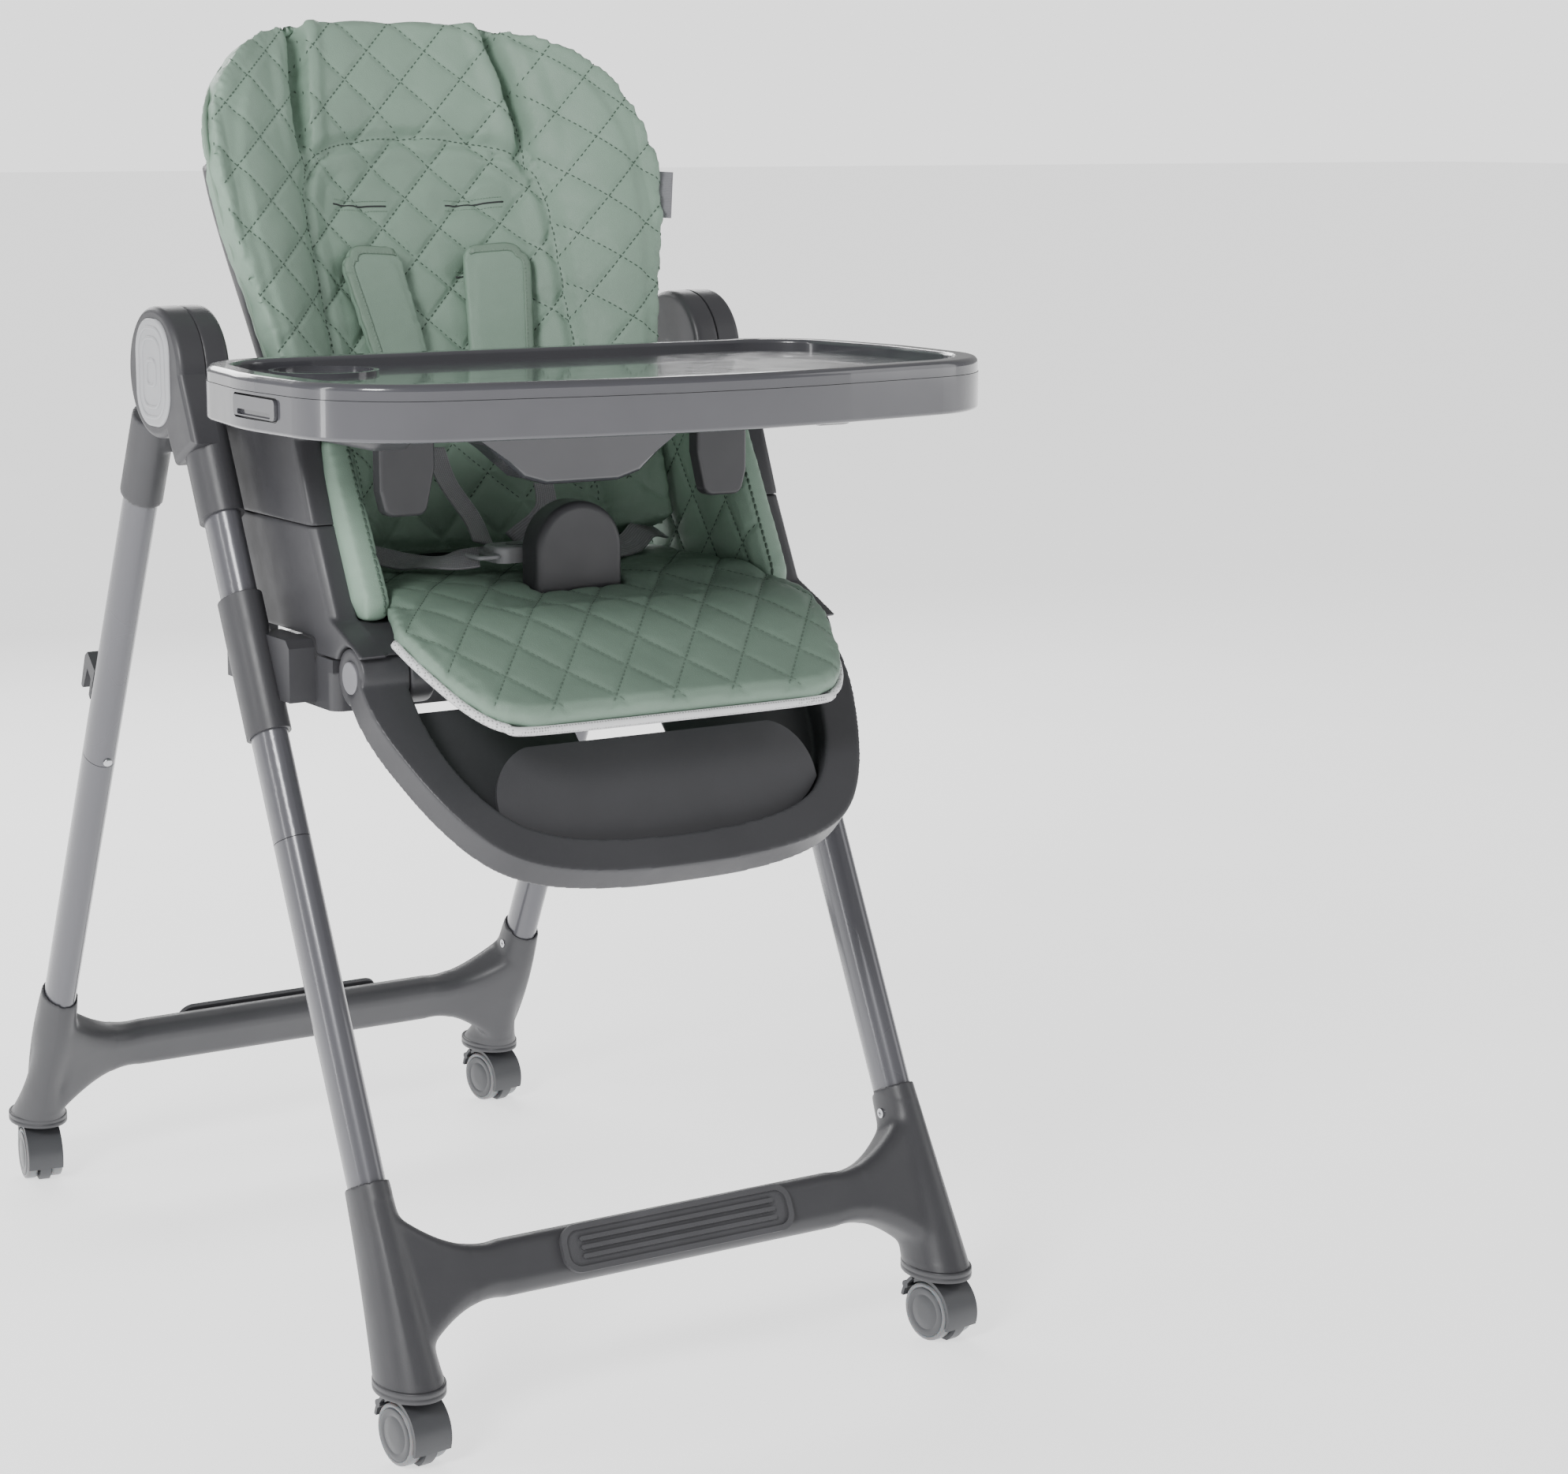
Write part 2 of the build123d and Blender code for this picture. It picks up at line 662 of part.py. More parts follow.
# ---------------------------------------------------------------- legrest
tilt = radians(legrest_tilt)
legrest_down = Vector(0, -sin(tilt), -cos(tilt))
legrest_out = Vector(0, -cos(tilt), sin(tilt))
loop_outer = ((211, -4), (212, -48), (201, -90), (181, -138), (150, -178), (84, -202), (0, -207))
loop_inner = ((172, -4), (173, -66), (160, -112), (132, -152), (68, -175), (0, -179))


def legrest_face(out):
    """A plane in the legrest, facing out of its front, with its y pointing back up to the pivot."""
    origin = Vector(0, hub_y + pivot_y, pivot_z) + legrest_out * out
    return Plane(origin=origin, x_dir=(1, 0, 0), z_dir=legrest_out)


def loop_block(points, top, out, depth):
    """A block of the legrest within the points and their mirror image, closed along its top."""
    mirrored = [(-x, y) for x, y in reversed(points[:-1])]
    with BuildPart() as block:
        with BuildSketch(legrest_face(out)):
            with BuildLine():
                Spline(*points, *mirrored)
                Polyline(points[0], (points[0][0], top), (-points[0][0], top), mirrored[-1])
            make_face()
        extrude(amount=depth)
    return block.part


with BuildPart() as legrest:
    add(loop_block(loop_outer, 0, -13, 26))
    add(loop_block(loop_inner, 40, -9, 30), mode=Mode.SUBTRACT)
    with BuildSketch(legrest_face(-14)):
        Rectangle(345, 31, align=(Align.CENTER, Align.MAX))
        Rectangle(78, 74, align=(Align.CENTER, Align.MAX))
    extrude(amount=8, mode=Mode.SUBTRACT)
    for _, side in SIDES:
        with BuildSketch(yz(side * (lug_x[1] + clear))):
            with Locations((pivot_y, pivot_z)):
                Circle(barrel_radius)
        extrude(amount=side * (211 - lug_x[1]))
        with BuildSketch(yz(side * lug_x[1])):
            with Locations((pivot_y, pivot_z)):
                Circle(pin_radius + 0.2)
        extrude(amount=side * 50, mode=Mode.SUBTRACT)
        with BuildSketch(yz(side * 208.7)):
            with Locations((pivot_y, pivot_z)):
                Circle(cap_radius + clear)
        extrude(amount=side * 10, mode=Mode.SUBTRACT)
save(legrest.part, "legrest_frame")


with BuildPart() as footrest:
    scoop = [(-173, -5.2), (-150, 4), (-118, 15), (-94, 24)]
    with BuildSketch(Plane(origin=legrest_face(0).origin - Vector(141, 0, 0), x_dir=-legrest_down,
                           z_dir=(1, 0, 0))):
        with BuildLine():
            Spline(*scoop)
            Spline(*[(along + 1.5, out - 3.5) for along, out in scoop])
            Line(scoop[0], (scoop[0][0] + 1.5, scoop[0][1] - 3.5))
            Line(scoop[-1], (scoop[-1][0] + 1.5, scoop[-1][1] - 3.5))
        make_face()
    extrude(amount=282)
    with BuildSketch(legrest_face(-30)):
        with Locations((0, -136)):
            RectangleRounded(282, 86, 42)
    extrude(amount=80, mode=Mode.INTERSECT)
    add(loop_block([(0.99 * x, 0.99 * y) for x, y in loop_inner], 0, -30, 80), mode=Mode.INTERSECT)
save(footrest.part, "footrest")


def make_pivot_pin(side):
    """The legrest's pivot pin with its light cap."""
    with BuildPart() as pin:
        with BuildSketch(yz(side * (lug_x[0] + 2))):
            with Locations((pivot_y, pivot_z)):
                Circle(pin_radius)
        extrude(amount=side * 57)
        with BuildSketch(yz(side * (lug_x[0] + 59))):
            with Locations((pivot_y, pivot_z)):
                Circle(cap_radius)
        extrude(amount=side * 3.4)
        fillet(pin.faces().sort_by(Axis.X)[-1 if side > 0 else 0].edges(), 1)
    return pin.part


save(Compound(children=[make_pivot_pin(side) for _, side in SIDES]), "legrest_pins")

with BuildPart() as calf_pad:
    with BuildSketch(Plane(origin=(0, hub_y - 252, 602.5), x_dir=(1, 0, 0),
                           z_dir=(0, -sin(radians(28)), cos(radians(28))))):
        with BuildLine():
            Polyline((-188, 0), (188, 0), (188, -20), (153, -122), (112, -138), (-112, -138), (-153, -122),
                     (-188, -20), close=True)
        make_face()
    extrude(amount=17)
    fillet(calf_pad.faces().sort_by(Axis.Z)[-1].outer_wire().edges(), 5)
save(calf_pad.part, "calf_pad")

# ---------------------------------------------------------------- tray
tray_corners = ((-276, -104), (276, -104), (297, -250), (286, -404), (0, -452), (-286, -404), (-297, -250))
tray_rounds = (78, 78, 220, 96, 700, 96, 220)
clip_y, clip_length = -272.0, 72.0
paddle_y, paddle_z = -204.0, 770.0


def tray_block(shrink, low, high):
    """A block of the tray's outline, shrunk by an even margin, between two heights."""
    with BuildPart() as block:
        with BuildSketch(xy(low)) as outline:
            with BuildLine():
                Polyline(*tray_corners, close=True)
            make_face()
            for corner, radius in zip(tray_corners, tray_rounds):
                fillet(outline.vertices().sort_by_distance((corner[0], corner[1], 0))[0], radius)
            if shrink:
                offset(amount=-shrink, mode=Mode.REPLACE)
        extrude(amount=high - low)
    return block.part


with BuildPart() as tray_base:
    add(tray_block(0, tray_z, deck_z))
    fillet(tray_base.faces().sort_by(Axis.Z)[0].outer_wire().edges(), 3)
    add(tray_block(tray_wall, tray_z - 1, deck_z - 3.4), mode=Mode.SUBTRACT)
    for _, side in SIDES:
        with BuildSketch(xy(tray_z - 1)):
            with Locations((side * (wall_x + arm_in_x) / 2, -110)):
                Rectangle(wall_x - arm_in_x + 2, 60)
        extrude(amount=deck_z - 3.4 - tray_z + 1, mode=Mode.SUBTRACT)
        with BuildSketch(xy(arm_z + 8)):
            with Locations((side * (arm_in_x - 5), -235)):
                RectangleRounded(7, 150, 3)
        extrude(amount=deck_z - 2 - arm_z - 8)
        with BuildSketch(yz(side * 280)):
            with Locations((clip_y, 775)):
                RectangleRounded(clip_length + 2, 18, 5)
        extrude(amount=side * 30, mode=Mode.SUBTRACT)
        with BuildSketch(xy(766.2)):
            with Locations((side * 286, clip_y)):
                Rectangle(12, clip_length + 10)
        extrude(amount=deck_z - 768)
        with BuildSketch(yz(side * 287)):
            with Locations((clip_y, 775)):
                RectangleRounded(clip_length + 2, 16.8, 4)
        extrude(amount=side * 30, mode=Mode.SUBTRACT)
    with BuildSketch(xz(-200)):
        with BuildLine():
            Polyline((-112, deck_z - 2), (-112, 752), (-84, 733), (-52, 706), (-32, 700), (32, 700), (52, 706),
                     (84, 733), (112, 752), (112, deck_z - 2), close=True)
        make_face()
    extrude(amount=32)
    fillet(tray_base.edges().filter_by(lambda edge: edge.center().Z < 742 and abs(edge.center().X) < 100)
           .filter_by(Axis.Y, reverse=True), 4)
save(tray_base.part, "tray_base")

with BuildPart() as tray_cover:
    add(tray_block(0.6, deck_z + 0.3, rim_z))
    fillet(tray_cover.faces().sort_by(Axis.Z)[-1].outer_wire().edges(), 5)
    add(tray_block(20, deck_z + 3.5, rim_z + 2), mode=Mode.SUBTRACT)
    fillet(tray_cover.faces().sort_by(Axis.Z)[-1].inner_wires().edges(), 3)
    with BuildSketch(xy(deck_z + 3)):
        with Locations((-196, -180)):
            Circle(42)
            Circle(38, mode=Mode.SUBTRACT)
    extrude(amount=3.4)
save(tray_cover.part, "tray_cover")


def make_tray_clip(side):
    """The latch tab in the tray's side that frees the cover."""
    with BuildPart() as clip:
        with BuildSketch(yz(side * 288)):
            with Locations((clip_y, 775)):
                RectangleRounded(clip_length, 15, 3.5)
        extrude(amount=side * 7.4)
        with BuildSketch(yz(side * 296)):
            with Locations((clip_y, 770.5)):
                RectangleRounded(clip_length - 14, 4, 1.8)
        extrude(amount=-side * 3.5, mode=Mode.SUBTRACT)
    return clip.part


def make_tray_paddle(side):
    """The squeeze lever under the tray that frees it from the arms."""
    with BuildPart() as paddle:
        with BuildSketch(xz(paddle_y + 6)):
            with BuildLine():
                Polyline((side * 118, paddle_z), (side * 118, 716), (side * 126, 680), (side * 160, 680),
                         (side * 165, 700), (side * 165, paddle_z), close=True)
            make_face()
        extrude(amount=13)
        fillet(paddle.edges().filter_by(Axis.Y).group_by(Axis.Z)[0], 9)
        fillet(paddle.faces().sort_by(Axis.Y)[0].edges(), 3)
    return paddle.part


for name, side in SIDES:
    save(make_tray_clip(side), f"tray_clip_{name}")
    save(make_tray_paddle(side), f"tray_paddle_{name}")

# ---------------------------------------------------------------- shoulder straps behind their pads
straps = []
for _, side in SIDES:
    with BuildPart() as strap:
        with BuildSketch(strap_plane(side, 1.2)):
            with BuildLine():
                Polyline((side * 10 - 12, 246), (side * 10 + 12, 246), (12 - side * 12, 84), (-side * 12 - 12, 84),
                         close=True)
            make_face()
        extrude(amount=1.6)
    straps.append(strap.part)
save(Compound(children=straps), "shoulder_straps")


# ---------------------------------------------------------------- casters
def caster_plane(place, along=0.0, up=0.0):
    """The plane through a caster's middle, square to its axle, with x along its rolling direction."""
    is_front, is_left = place.startswith("front"), place.endswith("left")
    turn = radians(caster_turn[place])
    rolling = Vector(sin(turn), -cos(turn), 0)
    stem = Vector(leg_x if is_left else -leg_x, hub_y + (front_stem_y if is_front else rear_stem_y), 0)
    axle = rolling.cross(Vector(0, 0, 1))
    return Plane(origin=stem + axle * along + Vector(0, 0, up), x_dir=rolling, z_dir=axle)


trail = 5.0
pedal_pivot = (-21.0, 40.0)


def make_caster_body(place):
    with BuildPart() as body:
        with BuildSketch(caster_plane(place, -5)):
            with Locations((trail, wheel_radius)):
                Circle(wheel_radius + 3)
            with Locations(pedal_pivot):
                Circle(5)
            with Locations((trail, -14)):
                Rectangle(80, 30, mode=Mode.SUBTRACT)
        extrude(amount=10)
        with BuildSketch(caster_plane(place, -16)):
            with Locations((trail, wheel_radius)):
                Circle(wheel_radius + 4)
                Circle(wheel_radius + 1.2, mode=Mode.SUBTRACT)
            with Locations((-39, 22)):
                Rectangle(60, 90, mode=Mode.SUBTRACT)
            with Locations((trail, -4)):
                Rectangle(80, 36, mode=Mode.SUBTRACT)
        extrude(amount=32)
        with BuildSketch(Plane(caster_plane(place, 0, 44).origin)):
            Circle(5.5)
        extrude(amount=38)
        with BuildSketch(Plane(caster_plane(place, 0, 49.2).origin)):
            Circle(13)
        extrude(amount=4.4)
        with BuildSketch(caster_plane(place, -20)):
            with Locations((trail, wheel_radius)):
                Circle(4.3)
            with Locations(pedal_pivot):
                Circle(2.4)
        extrude(amount=40, mode=Mode.SUBTRACT)
    return body.part


def make_caster_wheels(place):
    """Two wheels on one axle, with a domed cap in each outer face."""
    with BuildPart() as wheels:
        with BuildSketch(caster_plane(place, -16.6)):
            with Locations((trail, wheel_radius)):
                Circle(4)
        extrude(amount=33.2)
        for side in (1, -1):
            with BuildSketch(caster_plane(place, side * 5.8)):
                with Locations((trail, wheel_radius)):
                    Circle(wheel_radius)
            extrude(amount=side * 11.5)
            with BuildSketch(caster_plane(place, side * 16)):
                with Locations((trail, wheel_radius)):
                    Circle(wheel_radius - 4.5)
                    Circle(wheel_radius - 6.5, mode=Mode.SUBTRACT)
            extrude(amount=side * 3, mode=Mode.SUBTRACT)
        fillet(wheels.edges().filter_by(GeomType.CIRCLE).filter_by(lambda edge: edge.radius > wheel_radius - 0.1), 2)
    return wheels.part


def make_caster_brake(place):
    """The pedal that tips down to lock the wheels, on its pin through the caster's body."""
    with BuildPart() as brake:
        with BuildSketch(caster_plane(place, -15)):
            with Locations((trail, wheel_radius)):
                Circle(wheel_radius + 7.4)
                Circle(wheel_radius + 4.6, mode=Mode.SUBTRACT)
            with BuildLine():
                Polyline((trail, wheel_radius), (trail - 35, wheel_radius + 48), (trail - 59, wheel_radius + 12.5),
                         close=True)
            make_face(mode=Mode.INTERSECT)
            with Locations(pedal_pivot):
                Circle(3.2)
        extrude(amount=30)
        with BuildSketch(caster_plane(place, -5.4)):
            with Locations(pedal_pivot):
                Rectangle(11.4, 13)
        extrude(amount=10.8, mode=Mode.SUBTRACT)
        with BuildSketch(caster_plane(place, -6)):
            with Locations(pedal_pivot):
                Circle(2.2)
        extrude(amount=12)
    return brake.part


for place in caster_turn:
    save(make_caster_body(place), f"caster_body_{place}")
    save(make_caster_wheels(place), f"caster_wheels_{place}")
    save(make_caster_brake(place), f"caster_brake_{place}")
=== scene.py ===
import json
import math

import bmesh
import bpy
from mathutils import Matrix, Vector, noise
from mathutils.bvhtree import BVHTree

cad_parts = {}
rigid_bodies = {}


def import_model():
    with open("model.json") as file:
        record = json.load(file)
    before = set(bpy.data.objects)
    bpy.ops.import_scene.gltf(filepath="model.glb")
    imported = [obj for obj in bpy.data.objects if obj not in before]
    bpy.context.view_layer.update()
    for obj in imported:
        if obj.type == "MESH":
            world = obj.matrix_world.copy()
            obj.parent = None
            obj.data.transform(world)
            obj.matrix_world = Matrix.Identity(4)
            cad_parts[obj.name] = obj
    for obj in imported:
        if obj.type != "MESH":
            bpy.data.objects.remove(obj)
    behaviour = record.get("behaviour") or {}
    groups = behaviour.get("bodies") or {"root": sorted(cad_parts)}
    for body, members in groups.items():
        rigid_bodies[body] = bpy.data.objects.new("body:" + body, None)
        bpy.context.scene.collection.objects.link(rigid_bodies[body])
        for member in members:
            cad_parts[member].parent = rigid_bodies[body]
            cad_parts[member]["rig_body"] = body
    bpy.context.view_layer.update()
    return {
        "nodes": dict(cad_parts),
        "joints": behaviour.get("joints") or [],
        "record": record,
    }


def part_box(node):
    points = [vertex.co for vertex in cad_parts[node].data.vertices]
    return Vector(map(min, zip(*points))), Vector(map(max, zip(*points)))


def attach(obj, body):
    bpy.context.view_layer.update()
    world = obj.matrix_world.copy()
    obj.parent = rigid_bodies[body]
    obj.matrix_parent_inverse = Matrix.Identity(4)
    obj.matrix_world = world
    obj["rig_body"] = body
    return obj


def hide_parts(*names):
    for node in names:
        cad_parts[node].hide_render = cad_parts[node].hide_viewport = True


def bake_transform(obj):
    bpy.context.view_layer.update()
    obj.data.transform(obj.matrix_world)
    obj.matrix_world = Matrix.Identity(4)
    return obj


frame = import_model()
nodes = frame["nodes"]
scene = bpy.context.scene
joints = {joint["name"]: joint for joint in frame["joints"]}

# ---------- shared places, in metres
hub_y = Vector(joints["frame_fold"]["pos_m"]).y
lean = math.radians(22)
back_up = Vector((0, math.sin(lean), math.cos(lean)))
back_out = Vector((0, -math.cos(lean), math.sin(lean)))
back_foot = Vector((0, hub_y - 0.0583, 0.640))
back_curve = 0.335


def hub(x, y, z):
    """A place given from the hubs' axis and the floor."""
    return Vector((x, hub_y + y, z))


def linear(r, g, b):
    """An 8-bit colour as linear light."""
    parts = [c / 255 / 12.92 if c <= 10 else ((c / 255 + 0.055) / 1.055) ** 2.4 for c in (r, g, b)]
    return tuple(parts) + (1.0,)


# ---------- materials
class Shader:
    """A material with short calls for the nodes that it is built from."""

    def __init__(self, name, **sockets):
        self.material = bpy.data.materials.new(name)
        self.material.use_nodes = True
        self.tree = self.material.node_tree
        self.bsdf = self.tree.nodes["Principled BSDF"]
        self.coordinates = self.tree.nodes.new("ShaderNodeTexCoord")
        for socket, value in sockets.items():
            self.bsdf.inputs[socket.replace("_", " ")].default_value = value

    def node(self, kind, **values):
        made = self.tree.nodes.new("ShaderNode" + kind)
        for key, value in values.items():
            if key in made.inputs:
                made.inputs[key].default_value = value
            else:
                setattr(made, key, value)
        return made

    def link(self, source, target):
        self.tree.links.new(source, target)

    def noise(self, scale, detail=3.0, stretch=None):
        made = self.node("TexNoise", Scale=scale, Detail=detail)
        self.place(made, stretch)
        return made.outputs["Fac"]

    def place(self, made, stretch=None, space="Object"):
        if stretch is None:
            self.link(self.coordinates.outputs[space], made.inputs["Vector"])
            return
        mapping = self.node("Mapping")
        mapping.inputs["Scale"].default_value = stretch
        self.link(self.coordinates.outputs[space], mapping.inputs["Vector"])
        self.link(mapping.outputs["Vector"], made.inputs["Vector"])

    def ramp(self, factor, *stops):
        made = self.node("ValToRGB")
        elements = made.color_ramp.elements
        while len(elements) < len(stops):
            elements.new(0.5)
        for element, (position, colour) in zip(elements, stops):
            element.position = position
            element.color = colour
        self.link(factor, made.inputs["Fac"])
        return made.outputs["Color"]

    def spread(self, factor, low, high, start=0.3, end=0.7):
        made = self.node("MapRange")
        for key, value in (("From Min", start), ("From Max", end), ("To Min", low), ("To Max", high)):
            made.inputs[key].default_value = value
        self.link(factor, made.inputs["Value"])
        return made.outputs["Result"]

    def bump(self, height, depth, after=None):
        made = self.node("Bump", Strength=1.0, Distance=depth)
        self.link(height, made.inputs["Height"])
        if after is not None:
            self.link(after, made.inputs["Normal"])
        return made.outputs["Normal"]

    def multiply(self, a, b):
        made = self.node("Math", operation="MULTIPLY")
        self.link(a, made.inputs[0])
        self.link(b, made.inputs[1])
        return made.outputs[0]

    def finish(self, colour=None, roughness=None, normal=None):
        for source, socket in ((colour, "Base Color"), (roughness, "Roughness"), (normal, "Normal")):
            if source is not None:
                self.link(source, self.bsdf.inputs[socket])
        return self.material


def tint(colour, factor):
    """The colour made lighter or darker."""
    return tuple(min(1.0, c * factor) for c in colour[:3]) + (1.0,)


def moulded(name, colour, roughness, grain=1400, depth=0.00006, **sockets):
    """Moulded plastic: a fine spark-eroded grain, cloudy gloss and faint shade changes."""
    made = Shader(name, **sockets)
    shade = made.ramp(made.noise(9, 4), (0.3, tint(colour, 0.93)), (0.7, tint(colour, 1.07)))
    gloss = made.spread(made.noise(38, 5), roughness - 0.05, roughness + 0.06)
    broad = made.bump(made.noise(26, 2), 0.00025)
    return made.finish(shade, gloss, made.bump(made.noise(grain, 2), depth, after=broad))


def painted(name, colour):
    """Satin paint on drawn tube: even colour with the faintest orange peel."""
    made = Shader(name, Coat_Weight=0.5, Coat_Roughness=0.12, Metallic=0.25)
    shade = made.ramp(made.noise(5, 2), (0.3, tint(colour, 0.97)), (0.7, tint(colour, 1.03)))
    gloss = made.spread(made.noise(6, 2), 0.24, 0.30)
    return made.finish(shade, gloss, made.bump(made.noise(420, 2), 0.000015))


def leather(name, colour):
    """Synthetic leather: small cells with fine creases between them, and a soft change of shade."""
    made = Shader(name, Specular_IOR_Level=0.42)
    clouds = made.ramp(made.noise(13, 5), (0.25, tint(colour, 0.92)), (0.75, tint(colour, 1.06)))
    cells = made.node("TexVoronoi", Scale=820.0, feature="DISTANCE_TO_EDGE")
    made.place(cells)
    creases = made.spread(cells.outputs["Distance"], 0.0, 1.0, 0.0, 0.35)
    large = made.bump(made.noise(60, 4), 0.0006)
    fine = made.bump(creases, 0.00008, after=large)
    gloss = made.spread(made.noise(90, 3), 0.43, 0.58)
    return made.finish(clouds, gloss, made.bump(made.noise(2600, 2), 0.00004, after=fine))


def woven(name, colour, ribs, sheen=0.3):
    """Satin webbing, whose weave runs along the strip's own coordinates."""
    made = Shader(name, Sheen_Weight=sheen, Sheen_Roughness=0.4)
    along = made.node("TexWave", Scale=ribs, Distortion=0.4, bands_direction="Y", wave_profile="SIN")
    across = made.node("TexWave", Scale=ribs * 0.6, Distortion=0.2, bands_direction="X", wave_profile="SIN")
    made.place(along, space="UV")
    made.place(across, space="UV")
    weave = made.multiply(along.outputs["Fac"], across.outputs["Fac"])
    shade = made.ramp(weave, (0.0, tint(colour, 0.66)), (0.8, tint(colour, 1.12)))
    return made.finish(shade, made.spread(made.noise(70, 3), 0.42, 0.6), made.bump(weave, 0.0003))


def metal(name, colour, roughness, stretch):
    """Plated metal with fine lines drawn along it."""
    made = Shader(name, Metallic=1.0)
    lines = made.noise(900, 3, stretch)
    shade = made.ramp(lines, (0.3, tint(colour, 0.88)), (0.7, tint(colour, 1.05)))
    gloss = made.spread(lines, roughness - 0.08, roughness + 0.1)
    return made.finish(shade, gloss, made.bump(lines, 0.00003))


def netting(name, colour):
    """Knitted spacer trim: rows of small round holes."""
    made = Shader(name, Sheen_Weight=0.2, Sheen_Roughness=0.5)
    holes = made.node("TexVoronoi", Scale=430.0, Randomness=0.25)
    made.place(holes)
    dark = made.spread(holes.outputs["Distance"], 0.0, 1.0, 0.18, 0.42)
    shade = made.ramp(dark, (0.0, tint(colour, 0.42)), (0.6, colour))
    return made.finish(shade, made.spread(made.noise(120, 2), 0.75, 0.9), made.bump(dark, 0.0005))


def treaded(name, colour):
    """Gritty rubber underfoot."""
    made = Shader(name)
    grit = made.noise(1800, 4)
    shade = made.ramp(made.noise(20, 4), (0.3, tint(colour, 0.9)), (0.7, tint(colour, 1.12)))
    return made.finish(shade, made.spread(grit, 0.62, 0.8), made.bump(grit, 0.00012))


def clear_tyre(name, colour):
    """Soft tyre rubber that lets a little light in."""
    made = Shader(name, Transmission_Weight=0.25, IOR=1.45, Subsurface_Weight=0.3, Subsurface_Scale=0.004)
    shade = made.ramp(made.noise(45, 3), (0.3, tint(colour, 0.92)), (0.7, tint(colour, 1.05)))
    gloss = made.spread(made.noise(60, 3), 0.3, 0.42)
    return made.finish(shade, gloss, made.bump(made.noise(500, 2), 0.00005))


dark_grey = linear(66, 66, 69)
looks = {
    "frame_plastic": moulded("moulded dark grey", dark_grey, 0.40),
    "step_tread": treaded("ribbed rubber", linear(74, 74, 77)),
    "tube_paint": painted("grey powder coat", linear(94, 94, 99)),
    "steel": metal("plated steel", linear(196, 196, 200), 0.26, (1, 1, 0.06)),
    "light_plastic": moulded("moulded light grey", linear(174, 175, 178), 0.42),
    "button_plastic": moulded("moulded mid grey", linear(132, 132, 136), 0.4),
    "tray_gloss": moulded("polished grey", linear(74, 74, 79), 0.2, grain=40, depth=0.00002,
                          Coat_Weight=0.8, Coat_Roughness=0.05),
    "green_leather": leather("sage leather", linear(142, 167, 150)),
    "webbing": woven("satin webbing", linear(168, 167, 172), 260),
    "caster_plastic": moulded("moulded charcoal", linear(70, 71, 74), 0.42),
    "caster_wheel": moulded("charcoal wheel", linear(72, 73, 76), 0.36),
}
pale_thread = woven("pale green thread", linear(112, 134, 119), 900, 0.1)
thread = woven("green thread", linear(94, 117, 102), 900, 0.1)
binding = leather("binding leather", linear(130, 152, 136))
trim_net = netting("white net trim", linear(226, 227, 228))
tyre_rubber = clear_tyre("pale tyre", linear(138, 140, 143))
# painted shade: a dark moulded strip stands for the shade inside each harness slit
slit_shade = moulded("painted slit shade", linear(52, 52, 55), 0.6)
floor_paint = Shader("pale floor", Emission_Color=(1, 1, 1, 1), Emission_Strength=1.25)
pale = floor_paint.ramp(floor_paint.noise(3, 3), (0.3, (0.86, 0.86, 0.86, 1)), (0.7, (0.9, 0.9, 0.9, 1)))
floor_paint.finish(pale, floor_paint.spread(floor_paint.noise(8, 2), 0.62, 0.72))

slot_of = {part["node"]: part["material_slot"] for part in frame["record"]["subparts"]}
for name, thing in nodes.items():
    for place in thing.material_slots:
        place.material = looks[slot_of[name]]


# ---------- mesh helpers
def add_piece(name, mesh, material, body, slot):
    """Links a mesh as a piece that rides on a CAD body, or that is left unattached when no body is given."""
    made = bpy.data.objects.new(name, mesh)
    scene.collection.objects.link(made)
    mesh.materials.clear()
    mesh.materials.append(material)
    for face in mesh.polygons:
        face.use_smooth = True
    if body is not None:
        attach(made, body)
    return made


def baked(thing):
    """The thing's mesh with its modifiers applied."""
    graph = bpy.context.evaluated_depsgraph_get()
    return bpy.data.meshes.new_from_object(thing.evaluated_get(graph), depsgraph=graph)


def apply_all(thing):
    """Makes the thing's modifiers part of its mesh."""
    mesh = baked(thing)
    thing.modifiers.clear()
    thing.data = mesh
    for face in mesh.polygons:
        face.use_smooth = True


def remeshed(thing, voxel, rounds):
    """Rebuilds the thing's mesh from voxels and smooths it."""
    remesh = thing.modifiers.new("Remesh", "REMESH")
    remesh.mode = "VOXEL"
    remesh.voxel_size = voxel
    soften = thing.modifiers.new("Smooth", "SMOOTH")
    soften.iterations = rounds
    apply_all(thing)


def tree_of(thing):
    """A tree that rays can be cast at."""
    mesh = thing.data
    return BVHTree.FromPolygons([v.co for v in mesh.vertices], [tuple(p.vertices) for p in mesh.polygons])


pressure = 4.0
settle_frames = 20
shrink = 0.0012
least_swell = 0.45


